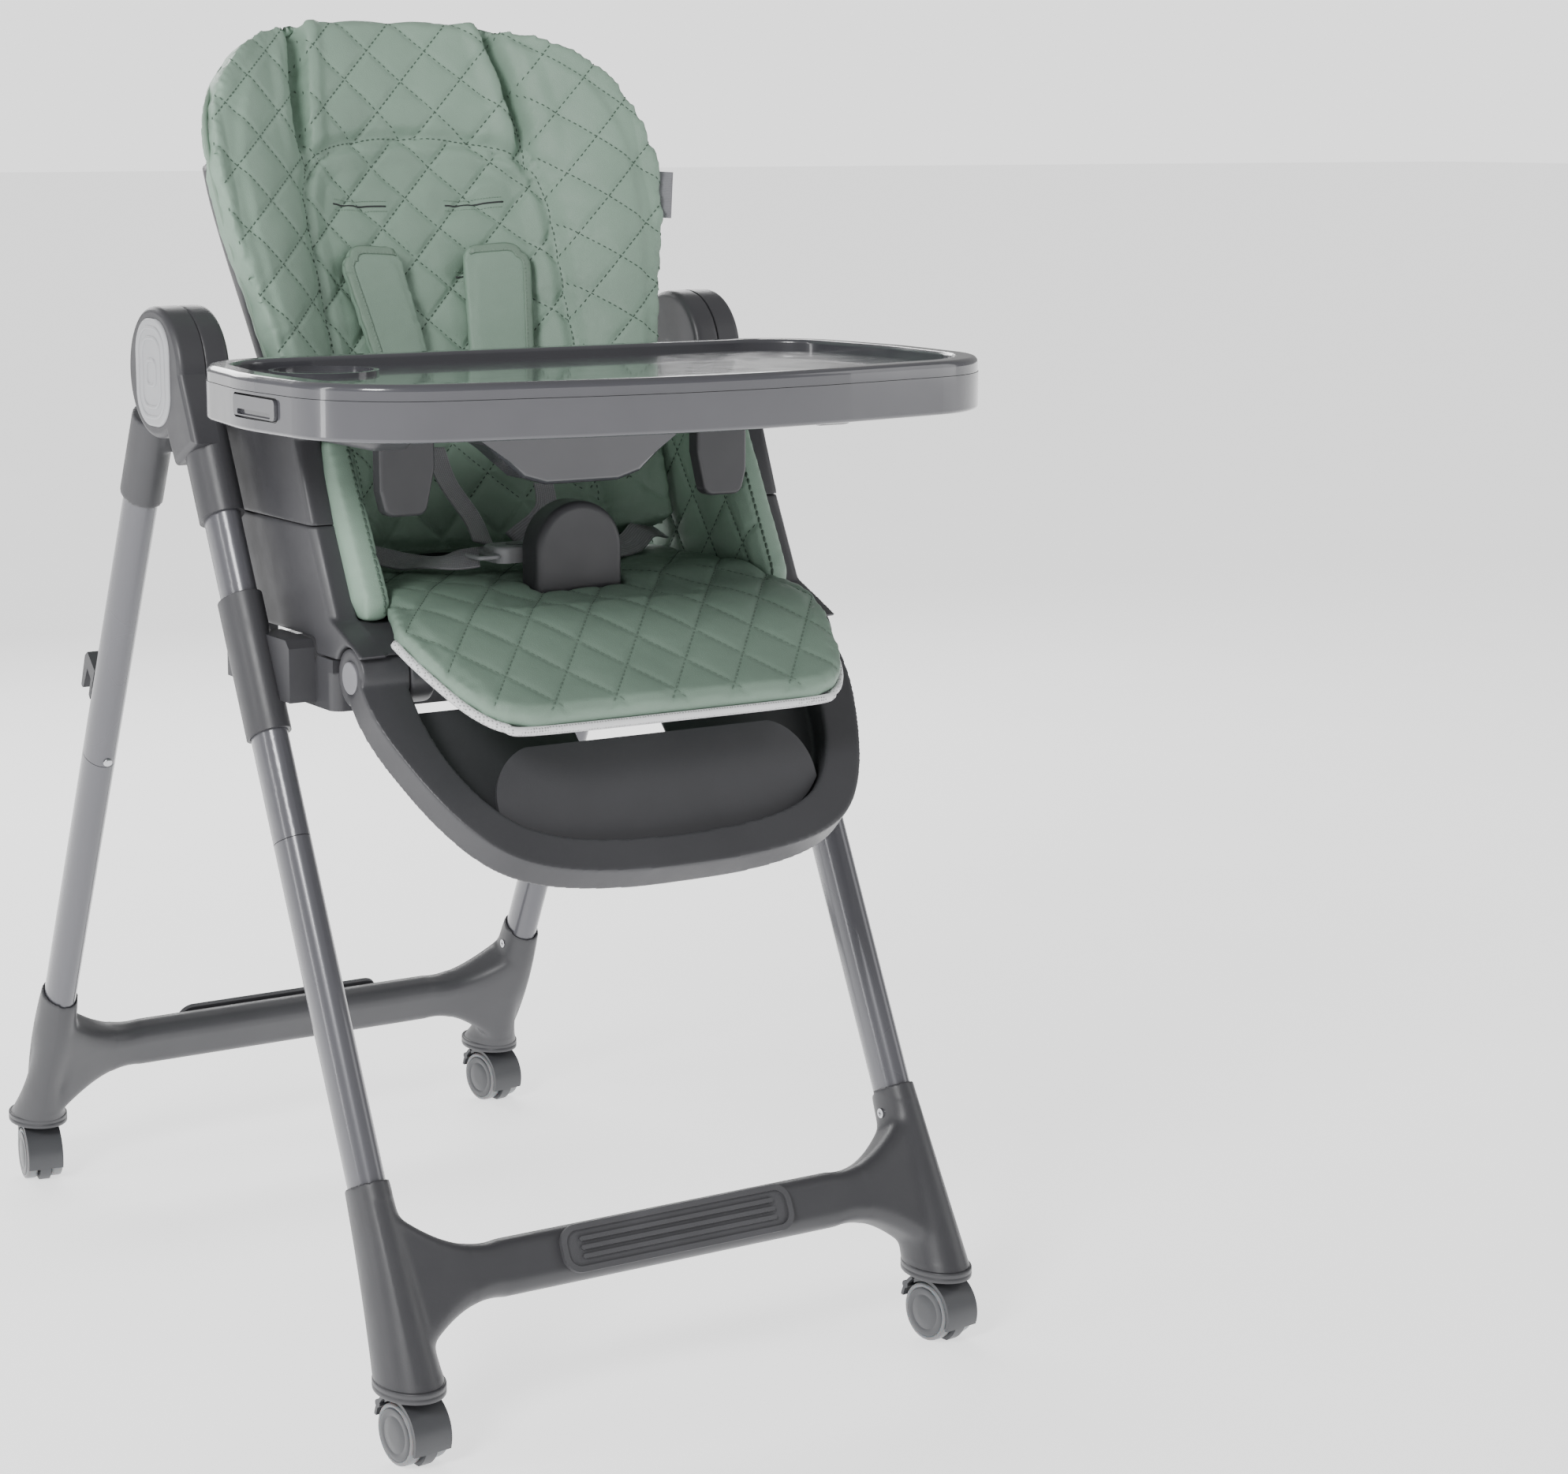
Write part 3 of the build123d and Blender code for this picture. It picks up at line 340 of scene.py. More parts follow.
def inflate_mesh(mesh, name, body, voxel, cap, fill=0.8, cutter=None):
    """A cushion blown up from a plain closed mesh by cloth simulation, then made finer."""
    made = add_piece(name, mesh, looks["green_leather"], body, "green_leather")
    if cutter is not None:
        cut = made.modifiers.new("Cut", "BOOLEAN")
        cut.object = cutter
        cut.operation = "DIFFERENCE"
    remeshed(made, voxel, 3)
    mesh = made.data
    for vertex, normal in zip(mesh.vertices, [v.normal.copy() for v in mesh.vertices]):
        vertex.co -= normal * shrink
    start = [v.co.copy() for v in mesh.vertices]
    cloth = made.modifiers.new("Cloth", "CLOTH")
    cloth.settings.quality = 4
    cloth.settings.use_pressure = True
    cloth.settings.uniform_pressure_force = pressure
    cloth.settings.effector_weights.gravity = 0
    cloth.settings.tension_stiffness = 22
    cloth.point_cache.frame_start = 1
    cloth.point_cache.frame_end = settle_frames
    for number in range(1, settle_frames + 1):
        scene.frame_set(number)
    blown = baked(made)
    made.modifiers.clear()
    outward = [v.normal.copy() for v in mesh.vertices]
    for vertex, old, way, new in zip(mesh.vertices, start, outward, blown.vertices):
        vertex.co = old + way * min(cap, max(least_swell * cap, (new.co - old).dot(way)))
    bpy.data.meshes.remove(blown)
    scene.frame_set(1)
    divide = made.modifiers.new("Divide", "SUBSURF")
    divide.levels = 1
    divide.render_levels = 1
    apply_all(made)
    return made


def inflate(node, name, **options):
    """A cushion blown up from a CAD solid, which it then stands for."""
    source = nodes[node]
    made = inflate_mesh(source.data.copy(), name, source["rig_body"], **options)
    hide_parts(node)
    return made


def sculpt(thing, shift):
    """Moves each point of the thing by shift(place, normal)."""
    mesh = thing.data
    moves = [shift(v.co, v.normal) for v in mesh.vertices]
    for vertex, move in zip(mesh.vertices, moves):
        vertex.co += move
    mesh.update()


def groove(distance, width):
    """1 on a seam, falling smoothly to 0 at width."""
    t = min(1.0, abs(distance) / width)
    return (1 - t) ** 2 * (1 + 2 * t)


def quilted(one, other, reach, crown, depth):
    """How far a quilted face stands out, from its distances to the nearest line each way."""
    puff = min(1.0, one / reach) * min(1.0, other / reach)
    line = max(groove(one, line_width), groove(other, line_width))
    return crown * math.sin(puff * math.pi / 2) - depth * line


def polyline_distance(x, y, path):
    """How far a flat point is from a path of straight runs."""
    best = 1e9
    for (ax, ay), (bx, by) in zip(path, path[1:]):
        dx, dy = bx - ax, by - ay
        t = max(0.0, min(1.0, ((x - ax) * dx + (y - ay) * dy) / (dx * dx + dy * dy)))
        best = min(best, math.hypot(x - ax - t * dx, y - ay - t * dy))
    return best


def resample(path, pitch):
    """Points at an even pitch along a path, with its direction at each."""
    points = [Vector(p) for p in path]
    made, left = [], 0.0
    for a, b in zip(points, points[1:]):
        run = (b - a).length
        if run < 1e-9:
            continue
        way = (b - a) / run
        at = left
        while at < run:
            made.append((a + way * at, way))
            at += pitch
        left = at - run
    return made


def smooth_path(points, steps=8):
    """A Catmull-Rom curve through the points."""
    points = [Vector(p) for p in points]
    ends = [points[0] * 2 - points[1]] + points + [points[-1] * 2 - points[-2]]
    made = []
    for a, b, c, d in zip(ends, ends[1:], ends[2:], ends[3:]):
        for step in range(steps):
            t = step / steps
            made.append(0.5 * (2 * b + (c - a) * t + (2 * a - 5 * b + 4 * c - d) * t ** 2
                               + (3 * b - a - 3 * c + d) * t ** 3))
    return made + [points[-1]]


def stitch_row(bm, points, facing, tree, length=0.0033, pitch=0.0052, radius=0.00042, reach=0.05):
    """Short raised stitches along a path, dropped onto a surface against the way it faces."""
    for place, way in resample(points, pitch):
        hit, normal, _, _ = tree.ray_cast(place + facing * reach, -facing, reach * 2)
        if hit is None or normal.dot(facing) < 0.15:
            continue
        along = (way - normal * way.dot(normal)).normalized()
        across = normal.cross(along)
        turns = [math.pi * k / 3 for k in range(6)]
        spokes = [across * math.cos(a) * 1.25 + normal * math.sin(a) for a in turns]
        rings = []
        for t, size in ((-0.5, 0.45), (-0.36, 0.95), (0.0, 1.1), (0.36, 0.95), (0.5, 0.45)):
            middle = hit + along * (t * length) + normal * (radius * 0.35 * (1 - 3.2 * t * t))
            rings.append([bm.verts.new(middle + spoke * radius * size) for spoke in spokes])
        for first, second in zip(rings, rings[1:]):
            for k in range(6):
                bm.faces.new((first[k], first[(k + 1) % 6], second[(k + 1) % 6], second[k]))
        bm.faces.new(rings[0][::-1])
        bm.faces.new(rings[-1])


def runs(places, inside):
    """The unbroken runs of those places that are inside, each of two places or more."""
    found = [[]]
    for place in places:
        if inside(*place):
            found[-1].append(place)
        else:
            found.append([])
    return [run for run in found if len(run) > 1]


def stitch_sheet(bm, row):
    """Stitches along a row of places given on the seat sheet."""
    for (a0, s0), (a1, s1) in zip(row[::8], row[8::8] + row[-1:]):
        start, facing = sheet_point(a0, s0)
        stitch_row(bm, [start, sheet_point(a1, s1)[0]], facing, seat_tree)


def piece_from(bm, name, material, body, slot):
    """Ends a bmesh as a piece."""
    bmesh.ops.recalc_face_normals(bm, faces=bm.faces)
    mesh = bpy.data.meshes.new(name)
    bm.to_mesh(mesh)
    bm.free()
    return add_piece(name, mesh, material, body, slot)


def add_sweep(bm, points, section, sides, closed=False, uv=None):
    """Sweeps a flat section, given as (across, out) offsets, along points with a facing at each."""
    rings = []
    count = len(points)
    for index, place in enumerate(points):
        before = points[index - 1] if closed or index else place
        after = points[(index + 1) % count] if closed or index < count - 1 else place
        along = (after - before).normalized()
        out = sides[index]
        out = (out - along * out.dot(along)).normalized()
        across = out.cross(along)
        rings.append([bm.verts.new(place + across * a + out * o) for a, o in section])
    size = len(section)
    spans = list(zip(rings, rings[1:])) + ([(rings[-1], rings[0])] if closed else [])
    travel = 0.0
    for first, second in spans:
        step = (second[0].co - first[0].co).length
        for k in range(size):
            face = bm.faces.new((first[k], first[(k + 1) % size], second[(k + 1) % size], second[k]))
            if uv is not None:
                for loop, (a, b) in zip(face.loops, ((k, 0), (k + 1, 0), (k + 1, 1), (k, 1))):
                    loop[uv].uv = (section[a % size][0], travel + step * b)
        travel += step
    if not closed:
        bm.faces.new(rings[0][::-1])
        bm.faces.new(rings[-1])


def circle_section(radius, sides=8, flat=1.0):
    """A round section, or an oval one."""
    turns = [2 * math.pi * k / sides for k in range(sides)]
    return [(radius * math.cos(a), radius * flat * math.sin(a)) for a in turns]


def band_section(width, thickness):
    """A strap's section: flat with rounded, slightly thicker woven edges."""
    half, t = width / 2, thickness / 2
    top = [(-half, 0), (-half * 0.985, t), (-half * 0.93, t * 1.25), (-half * 0.86, t * 0.95), (0, t * 1.05),
           (half * 0.86, t * 0.95), (half * 0.93, t * 1.25), (half * 0.985, t), (half, 0)]
    return top + [(a, -o) for a, o in reversed(top[1:-1])]


def band(name, points, facing, width, body):
    """A strap of webbing through the points, its flat side turned one way."""
    bm = bmesh.new()
    uv = bm.loops.layers.uv.new("weave")
    path = smooth_path(points, 10)
    add_sweep(bm, path, band_section(width, 0.0015), [facing] * len(path), uv=uv)
    return piece_from(bm, name, looks["webbing"], body, "webbing")


def rounded_loop(centre, right, up, half_w, half_h, corner, steps=8):
    """Points round a rectangle with round corners, in the plane of right and up."""
    made = []
    for sx, sy, start in ((1, 1, 0), (-1, 1, 90), (-1, -1, 180), (1, -1, 270)):
        for k in range(steps + 1):
            a = math.radians(start + 90 * k / steps)
            made.append(centre + right * (sx * (half_w - corner) + corner * math.cos(a))
                        + up * (sy * (half_h - corner) + corner * math.sin(a)))
    return made


def add_lathe(bm, centre, axis, profile, segments=48):
    """Spins a closed profile of (radius, along) pairs about an axis."""
    side = axis.orthogonal().normalized()
    other = axis.cross(side)
    rings = []
    for k in range(segments):
        a = 2 * math.pi * k / segments
        way = side * math.cos(a) + other * math.sin(a)
        rings.append([bm.verts.new(centre + way * r + axis * h) for r, h in profile])
    size = len(profile)
    for first, second in zip(rings, rings[1:] + rings[:1]):
        for k in range(size):
            bm.faces.new((first[k], first[(k + 1) % size], second[(k + 1) % size], second[k]))


# ---------- the quilted back
quilt = 0.054
line_width = 0.0045
slot_levels = (0.289, 0.226)
arch_half = [(0.109, 0.02), (0.112, 0.154), (0.113, 0.21), (0.114, 0.26), (0.112, 0.292),
             (0.101, 0.320), (0.074, 0.337), (0.035, 0.346), (0.0, 0.348)]
arch = arch_half + [(-x, up) for x, up in reversed(arch_half[:-1])]
fold_half = [(0.103, 0.316), (0.105, 0.352), (0.100, 0.392), (0.093, 0.430), (0.090, 0.470)]
folds = [fold_half, [(-x, up) for x, up in fold_half]]


def back_point(x, up, out=0.0):
    """A point on the curved front of the backrest, or out in front of it."""
    bow = back_curve - math.sqrt(back_curve ** 2 - x ** 2)
    return back_foot + Vector((x, 0, 0)) + back_up * up + back_out * (bow + out)


def back_flat(place):
    """Where a point is on the backrest: across it, up it, and out of its front."""
    away = place - back_foot
    bow = back_curve - math.sqrt(back_curve ** 2 - min(abs(away.x), 0.3) ** 2)
    return away.x, away.dot(back_up), away.dot(back_out) - bow


def back_zone(x, up):
    """Which sewn panel a place on the back belongs to: the middle, the head or a wing."""
    edge = 0.113 if up < 0.29 else 0.113 - (up - 0.29) * 0.14
    if abs(x) > edge:
        return "wing"
    reach = abs(x) / 0.11
    return "head" if up > 0.348 - 0.030 * reach ** 2 - 0.02 * reach ** 8 else "middle"


quilt_phase = {"head": (0.021, 0.039), "middle": (0.020, 0.020), "wing": (0.0, 0.043)}


def quilt_lines(x, up, zone):
    """The distance to the nearest quilting line, for lines both ways."""
    along, against = quilt_phase[zone]
    sign = -1.0 if zone == "wing" and x < 0 else 1.0
    found = []
    for value in (sign * x + up - along, sign * x - up - against):
        rest = value % quilt
        found.append(min(rest, quilt - rest) / math.sqrt(2))
    return found


def shape_back(place, normal):
    """The back's panels, quilting, seams, folds and creases."""
    x, up, _ = back_flat(place)
    facing = normal.dot(back_out)
    if facing < 0.2:
        return Vector((0, 0, 0))
    weight = min(1.0, (facing - 0.2) / 0.4)
    zone = back_zone(x, up)
    seam = polyline_distance(x, up, arch)
    fold = min(polyline_distance(x, up, path) for path in folds)
    one, other = quilt_lines(x, up, zone)
    soft = {"head": 1.25, "wing": 0.85, "middle": 1.7}[zone]
    height = soft * quilted(one, other, 0.016, 0.0016, 0.0011)
    if zone == "middle":
        height -= 0.0075 * min(1.0, seam / 0.022)
    elif zone == "wing":
        reach = max(0.0, min(1.0, (abs(x) - 0.112) / 0.085))
        height += 0.0095 * math.sin(math.pi * min(1.0, reach * 1.1)) ** 0.8
    else:
        height += 0.0055 * min(1.0, seam / 0.03) * min(1.0, fold / 0.02)
    height -= 0.0052 * groove(seam, 0.011)
    deep = min(1.0, max(0.0, (up - 0.30) / 0.06))
    height -= 0.0165 * groove(fold, 0.012) * deep
    height += 0.0045 * groove(fold - 0.016, 0.014) * deep
    creases = noise.noise(Vector((x * 26, up * 9, 1.3))) + 0.6 * noise.noise(Vector((x * 11, up * 38, 7.1)))
    height += 0.0016 * creases * groove(min(seam, fold), 0.06)
    slots = min(polyline_distance(abs(x), up, [(0.026, level), (0.084, level)]) for level in slot_levels)
    height -= 0.0022 * groove(slots, 0.018)
    height += 0.0013 * noise.noise(Vector((x * 34, up * 34, 3.0)))
    return back_out * (height * weight)


def pull_edge(place, normal):
    """The outline puckers a little at each quilting line and at the folds."""
    x, up, _ = back_flat(place)
    rim = Vector((x, 0, 0)) + back_up * (up - 0.25)
    facing = abs(normal.dot(back_out))
    weight = max(0.0, 1 - facing / 0.7) * min(1.0, max(0.0, (up - 0.06) / 0.05))
    one, other = quilt_lines(x, up, "wing" if abs(x) > 0.1 else "head")
    pull = 0.0022 * max(groove(one, 0.014), groove(other, 0.014))
    pull += 0.0060 * groove(min(polyline_distance(x, up, path) for path in folds), 0.024)
    return -rim.normalized() * (pull * weight)


back = inflate("back_pad", "back_cushion", voxel=0.0044, cap=0.006, fill=0.75)
sculpt(back, shape_back)
sculpt(back, pull_edge)
back_tree = tree_of(back)


def back_rows():
    """The quilting, seam and fold rows as paths over the back."""
    def inside(x, up):
        in_zone = abs(x) < 0.206 and 0.03 < up < 0.458 and back_zone(x, up) == zone
        return in_zone and (zone != "wing" or x * mirror > 0)

    rows = []
    levels = [step * 0.0035 for step in range(-60, 141)]
    for zone in ("head", "middle", "wing"):
        for way, phase in zip((-1, 1), quilt_phase[zone]):
            for number in range(-14, 15):
                start = phase + number * quilt
                for mirror in ((1.0, -1.0) if zone == "wing" else (1.0,)):
                    rows += runs([((start + way * up) * mirror, up) for up in levels], inside)
    for path in [arch] + [[(x, up) for x, up in fold if up < 0.40] for fold in folds]:
        rows.append([(p.x, p.y) for p in smooth_path([(x, up, 0) for x, up in path], 10)])
    return rows


bm = bmesh.new()
for row in back_rows():
    stitch_row(bm, [back_point(x, up) for x, up in row], back_out, back_tree, length=0.0030)
piece_from(bm, "back_stitching", thread, "backrest", "green_leather")

# harness slots: each slit's shade is painted as a thin dark strip, inside a sewn border
bm = bmesh.new()
hems = bmesh.new()
for side in (1, -1):
    for level, near, far in zip(slot_levels, (0.028, 0.026), (0.080, 0.084)):
        inner, outer = side * near, side * far
        slit = []
        for step in range(13):
            x = inner + (outer - inner) * step / 12
            hit, normal, _, _ = back_tree.ray_cast(back_point(x, level, 0.05), -back_out, 0.1)
            slit.append((hit + normal * 0.0003, normal))
        add_sweep(bm, [place for place, _ in slit], circle_section(0.0007, 8, 0.35),
                  [normal for _, normal in slit])
        for shift in (0.0042, -0.0042):
            row = [back_point(inner + (outer - inner) * step / 12, level + shift) for step in range(13)]
            stitch_row(hems, row, back_out, back_tree, length=0.0019, pitch=0.0024, radius=0.00034)
piece_from(bm, "harness_slots", slit_shade, "backrest", "green_leather")
piece_from(hems, "harness_slot_hems", binding, "backrest", "green_leather")

# piping round the back cushion's rear edge
outline_half = [(0.160, -0.006), (0.168, 0.096), (0.181, 0.170), (0.203, 0.298), (0.187, 0.372),
                (0.112, 0.437), (0.0, 0.452)]
outline = outline_half + [(-x, up) for x, up in reversed(outline_half[:-1])]
rim_path = [(p.x, p.y) for p in smooth_path([(x, up, 0) for x, up in outline], 14)]
bm = bmesh.new()
places = [back_point(x * 0.993, up - (0.003 if up > 0.4 else 0), -0.0165) for x, up in rim_path]
ways = [(Vector((x, 0, 0)) + back_up * (up - 0.22)).normalized() for x, up in rim_path]
places = [place + way * 0.0012 for place, way in zip(places, ways)]
add_sweep(bm, places, circle_section(0.0021, 10), ways)
piece_from(bm, "back_piping", binding, "backrest", "green_leather")

# the shell's side walls, seen beside the lower half of the cushion
bm = bmesh.new()
for side in (1, -1):
    wall = [(x, up) for x, up in rim_path if x * side > 0.1 and 0.0 < up < 0.315]
    places = [back_point(x * 0.985, up, -0.0285) for x, up in wall]
    ways = [Vector((side, 0, 0))] * len(places)
    profile = [(-0.0085, -0.0016), (-0.0085, 0.0004), (-0.004, 0.0018),
               (0.004, 0.0018), (0.0085, 0.0006), (0.0085, -0.0016)]
    add_sweep(bm, places, profile, ways)
piece_from(bm, "shell_side_walls", looks["frame_plastic"], "backrest", "frame_plastic")

# a blank woven tag sewn into the cushion's edge
bm = bmesh.new()
weave = bm.loops.layers.uv.new("weave")
tag = [back_point(0.197 + 0.00145 * k, 0.276 - 0.0004 * k, -0.009 - 0.0004 * k) for k in range(12)]
turned = (back_out - Vector((0.25, 0, 0))).normalized()
add_sweep(bm, tag, band_section(0.042, 0.0012), [turned] * len(tag), uv=weave)
piece_from(bm, "blank_tag", woven("tag satin", linear(168, 168, 174), 500), "backrest", "webbing")

# ---------- shoulder pads with bound edges
strap_x = 0.052
pad_half, pad_top, pad_round = 0.030, 0.248, 0.024


def strap_frame(side):
    """A shoulder strap's foot on the back, the way across it, and the way out of the back there."""
    slope = side * strap_x / back_curve
    across = Vector((1, 0, 0)) * math.cos(slope) + back_out * math.sin(slope)
    away = back_out * math.cos(slope) - Vector((1, 0, 0)) * math.sin(slope)
    foot = back_foot + Vector((side * strap_x, 0, 0)) + back_out * (strap_x ** 2 / 2 / back_curve)
    return foot, across, away


def pad_point(side, foot, across, u, v):
    """A place on a shoulder pad's base, u outward from its middle line and v up the back."""
    middle = 0.010 - (pad_top - v) / 7
    return foot + across * (side * (u + middle)) + back_up * v


def round_pad(place, side, foot, across):
    """Draws a shoulder pad's outer top corner into a large round."""
    v = (place - foot).dot(back_up)
    u = (place - foot).dot(across) * side - 0.010 + (pad_top - v) / 7
    du, dv = u - (pad_half - pad_round), v - (pad_top - pad_round)
    reach = math.hypot(du, dv)
    if du < 0 or dv < 0 or reach < 0.6 * pad_round:
        return Vector((0, 0, 0))
    keep = 0.6 + (reach / pad_round - 0.6) * 0.4 / (1 / max(abs(du), abs(dv)) * reach - 0.6)
    shift = pad_round * min(keep, 1.0) / reach - 1
    return across * (side * du * shift) + back_up * (dv * shift)


# places along a pad's edge, each with the way the edge faces: up its outer side, round, and inward
pad_hem = [(0.0234 + 0.0024 * k / 25, 0.114 + 0.0044 * k, 0.0) for k in range(26)]
for angle in range(0, 91, 6):
    a = math.radians(angle)
    pad_hem.append((0.006 + 0.0198 * math.cos(a), 0.224 + 0.0198 * math.sin(a), a))
pad_hem += [(0.003 - 0.003 * k, 0.2438, math.pi / 2) for k in range(10)]

for side, word in ((1, "left"), (-1, "right")):
    foot, across, away = strap_frame(side)
    pad = inflate(f"shoulder_pad_{word}", f"shoulder_cushion_{word}", voxel=0.0032, cap=0.0032, fill=0.6)
    sculpt(pad, lambda p, n: away * (0.0032 - (p - foot).dot(away)) * 0.34)
    sculpt(pad, lambda p, n: round_pad(p, side, foot, across))
    pad_tree = tree_of(pad)
    bm = bmesh.new()
    rings, seam = [], []
    for u, v, turn in pad_hem:
        def drop(inset):
            place = pad_point(side, foot, across, u + inset * math.cos(turn), v + inset * math.sin(turn))
            return pad_tree.ray_cast(place + away * 0.05, -away, 0.1)[:2]

        edge = next((0.006 - 0.0005 * k for k in range(30) if drop(0.006 - 0.0005 * k)[0] is not None), None)
        ring = [] if edge is None else [drop(edge - inset) for inset in (0.0, 0.0012, 0.0035, 0.0058, 0.0070)]
        if len(ring) == 5 and all(hit is not None for hit, _ in ring):
            rings.append([bm.verts.new(hit + normal * 0.0009) for hit, normal in ring]
                         + [bm.verts.new(hit - normal * 0.0006) for hit, normal in reversed(ring)])
            seam.append(ring[3][0])
    for first, second in zip(rings, rings[1:]):
        for k in range(10):
            bm.faces.new((first[k], first[(k + 1) % 10], second[(k + 1) % 10], second[k]))
    bm.faces.new(rings[0])
    bm.faces.new(rings[-1])
    piece_from(bm, f"shoulder_binding_{word}", binding, "backrest", "green_leather")
    stitch_rows = bmesh.new()
    stitch_row(stitch_rows, seam, away, pad_tree, length=0.0022, pitch=0.0036, radius=0.0009)
    piece_from(stitch_rows, f"shoulder_stitching_{word}", binding, "backrest", "green_leather")

for side, word in ((1, "left"), (-1, "right")):
    foot, across, away = strap_frame(side)
    spots = [(side * 0.001, 0.227, -0.004), (side * 0.002, 0.232, 0.004), (side * 0.004, 0.215, 0.0024),
             (side * 0.002, 0.18, 0.0018), (-side * 0.002, 0.13, 0.0016), (-side * 0.006, 0.09, 0.0018)]
    points = [foot + across * a + back_up * b + away * c for a, b, c in spots]
    band(f"shoulder_strap_{word}", points, away, 0.024, "backrest")
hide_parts("shoulder_straps")

# ---------- seat, bolsters and calf cushion
seat_quilt = 0.052
diamond = 0.78


def seat_lines(a, b, shift=0.0):
    """The distance to the nearest quilting line of the seat, for lines both ways."""
    found = []
    for value in (a + b * diamond - shift, a - b * diamond - shift):
        rest = value % seat_quilt
        found.append(min(rest, seat_quilt - rest) * 0.75)
    return found


def quilt_face(thing, flat, facing, shift):
    """Sinks quilting lines into the face of a cushion that looks along facing."""
    def move(place, normal):
        turned = normal.dot(facing)
        if turned < 0.25:
            return Vector((0, 0, 0))
        a, b = flat(place)
        rise = quilted(*seat_lines(a, b, shift), 0.014, 0.0011, 0.0010)
        rise += 0.0012 * noise.noise(Vector((a * 22, b * 22, 5.0)))
        return facing * (rise * min(1.0, (turned - 0.25) / 0.4))
    sculpt(thing, move)


def face_rows(flat_point, across, along, shift):
    """Quilting lines as paths over a flat region given by its two half sizes."""
    rows = []
    for way in (1, -1):
        for number in range(-12, 13):
            row = []
            for step in range(121):
                b = -along + 2 * along * step / 120
                a = shift + number * seat_quilt - way * b * diamond
                if abs(a) < across:
                    row.append(flat_point(a, b))
            if len(row) > 1:
                rows.append(row)
    return rows


seat_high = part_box("seat_pad")[1]
calf_lean = math.radians(28)
calf_up = Vector((0, -math.sin(calf_lean), math.cos(calf_lean)))
calf_down = Vector((0, -math.cos(calf_lean), -math.sin(calf_lean)))
calf_top = Vector((0, hub_y - 0.252, 0.6025))
fall = [Vector((0, seat_high.y, seat_high.z)), Vector((0, hub_y - 0.16, seat_high.z)),
        Vector((0, hub_y - 0.222, seat_high.z - 0.0005)),
        calf_top + calf_down * 0.022 + calf_up * 0.0165, calf_top + calf_down * 0.08 + calf_up * 0.0168,
        calf_top + calf_down * 0.1385 + calf_up * 0.0150]
fall_step = 0.004
fall = [p for p, _ in resample(smooth_path(fall, 12), fall_step)]
length = fall_step * (len(fall) - 1)
drawn_length = 0.3225
edge_path = [(0.0, 0.160), (0.03, 0.169), (0.150, 0.169), (0.188, 0.181), (0.212, 0.189),
             (0.245, 0.184), (0.285, 0.171), (0.305, 0.160), (0.317, 0.147), (drawn_length, 0.130)]


def half_width(s):
    """Half the seat sheet's width at a distance from its rear edge."""
    s = s / length * drawn_length
    for (s0, w0), (s1, w1) in zip(edge_path, edge_path[1:]):
        if s <= s1:
            return w0 + (w1 - w0) * (s - s0) / (s1 - s0)
    return edge_path[-1][1]


def sheet_point(a, s, out=0.0):
    """A point on the seat sheet from its place across it and its distance from the rear edge."""
    t = max(0.0, min(len(fall) - 1.001, s / fall_step))
    k = int(t)
    along = (fall[k + 1] - fall[k]).normalized()
    normal = Vector((1, 0, 0)).cross(along)
    normal = normal if normal.z > 0 else -normal
    return fall[k].lerp(fall[k + 1], t - k) + Vector((a, 0, 0)) + normal * out, normal


bm = bmesh.new()
rows, columns = len(fall), 45
layers = []
for out in (-0.0015, -0.0155):
    layer = []
    for row in range(rows):
        half = half_width(row * fall_step) - 0.0035
        places = [half * (2 * c / (columns - 1) - 1) for c in range(columns)]
        layer.append([bm.verts.new(sheet_point(a, row * fall_step, out)[0]) for a in places])
    layers.append(layer)
for layer in layers:
    for row in range(rows - 1):
        for c in range(columns - 1):
            bm.faces.new((layer[row][c], layer[row][c + 1], layer[row + 1][c + 1], layer[row + 1][c]))
top, under = layers
rim = [(0, c) for c in range(columns)] + [(r, columns - 1) for r in range(1, rows)]
rim += [(rows - 1, c) for c in range(columns - 2, -1, -1)] + [(r, 0) for r in range(rows - 2, 0, -1)]
for (r0, c0), (r1, c1) in zip(rim, rim[1:] + rim[:1]):
    bm.faces.new((top[r0][c0], top[r1][c1], under[r1][c1], under[r0][c0]))
bmesh.ops.recalc_face_normals(bm, faces=bm.faces)
sheet_mesh = bpy.data.meshes.new("seat_cushion")
bm.to_mesh(sheet_mesh)
bm.free()
# the slit that the crotch post comes up through
slit = bmesh.new()
slit_size = Matrix.Diagonal((0.0815, 0.0345, 0.08, 1))
bmesh.ops.create_cube(slit, size=1.0, matrix=Matrix.Translation(hub(0, -0.213, 0.61)) @ slit_size)
slit_mesh = bpy.data.meshes.new("slit")
slit.to_mesh(slit_mesh)
slit.free()
cutter = bpy.data.objects.new("slit", slit_mesh)
scene.collection.objects.link(cutter)
seat = inflate_mesh(sheet_mesh, "seat_cushion", None, voxel=0.0040, cap=0.0042, cutter=cutter)
bpy.data.objects.remove(cutter)
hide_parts("seat_pad", "calf_pad")


def sheet_flat(place):
    """The inverse of sheet_point: across, and distance from the rear edge."""
    best = min(range(len(fall)), key=lambda k: (fall[k].y - place.y) ** 2 + (fall[k].z - place.z) ** 2)
    back_along = (fall[max(best - 1, 0)] - fall[min(best + 1, len(fall) - 1)]).normalized()
    return place.x, best * fall_step + (fall[best] - Vector((0, place.y, place.z))).dot(back_along)


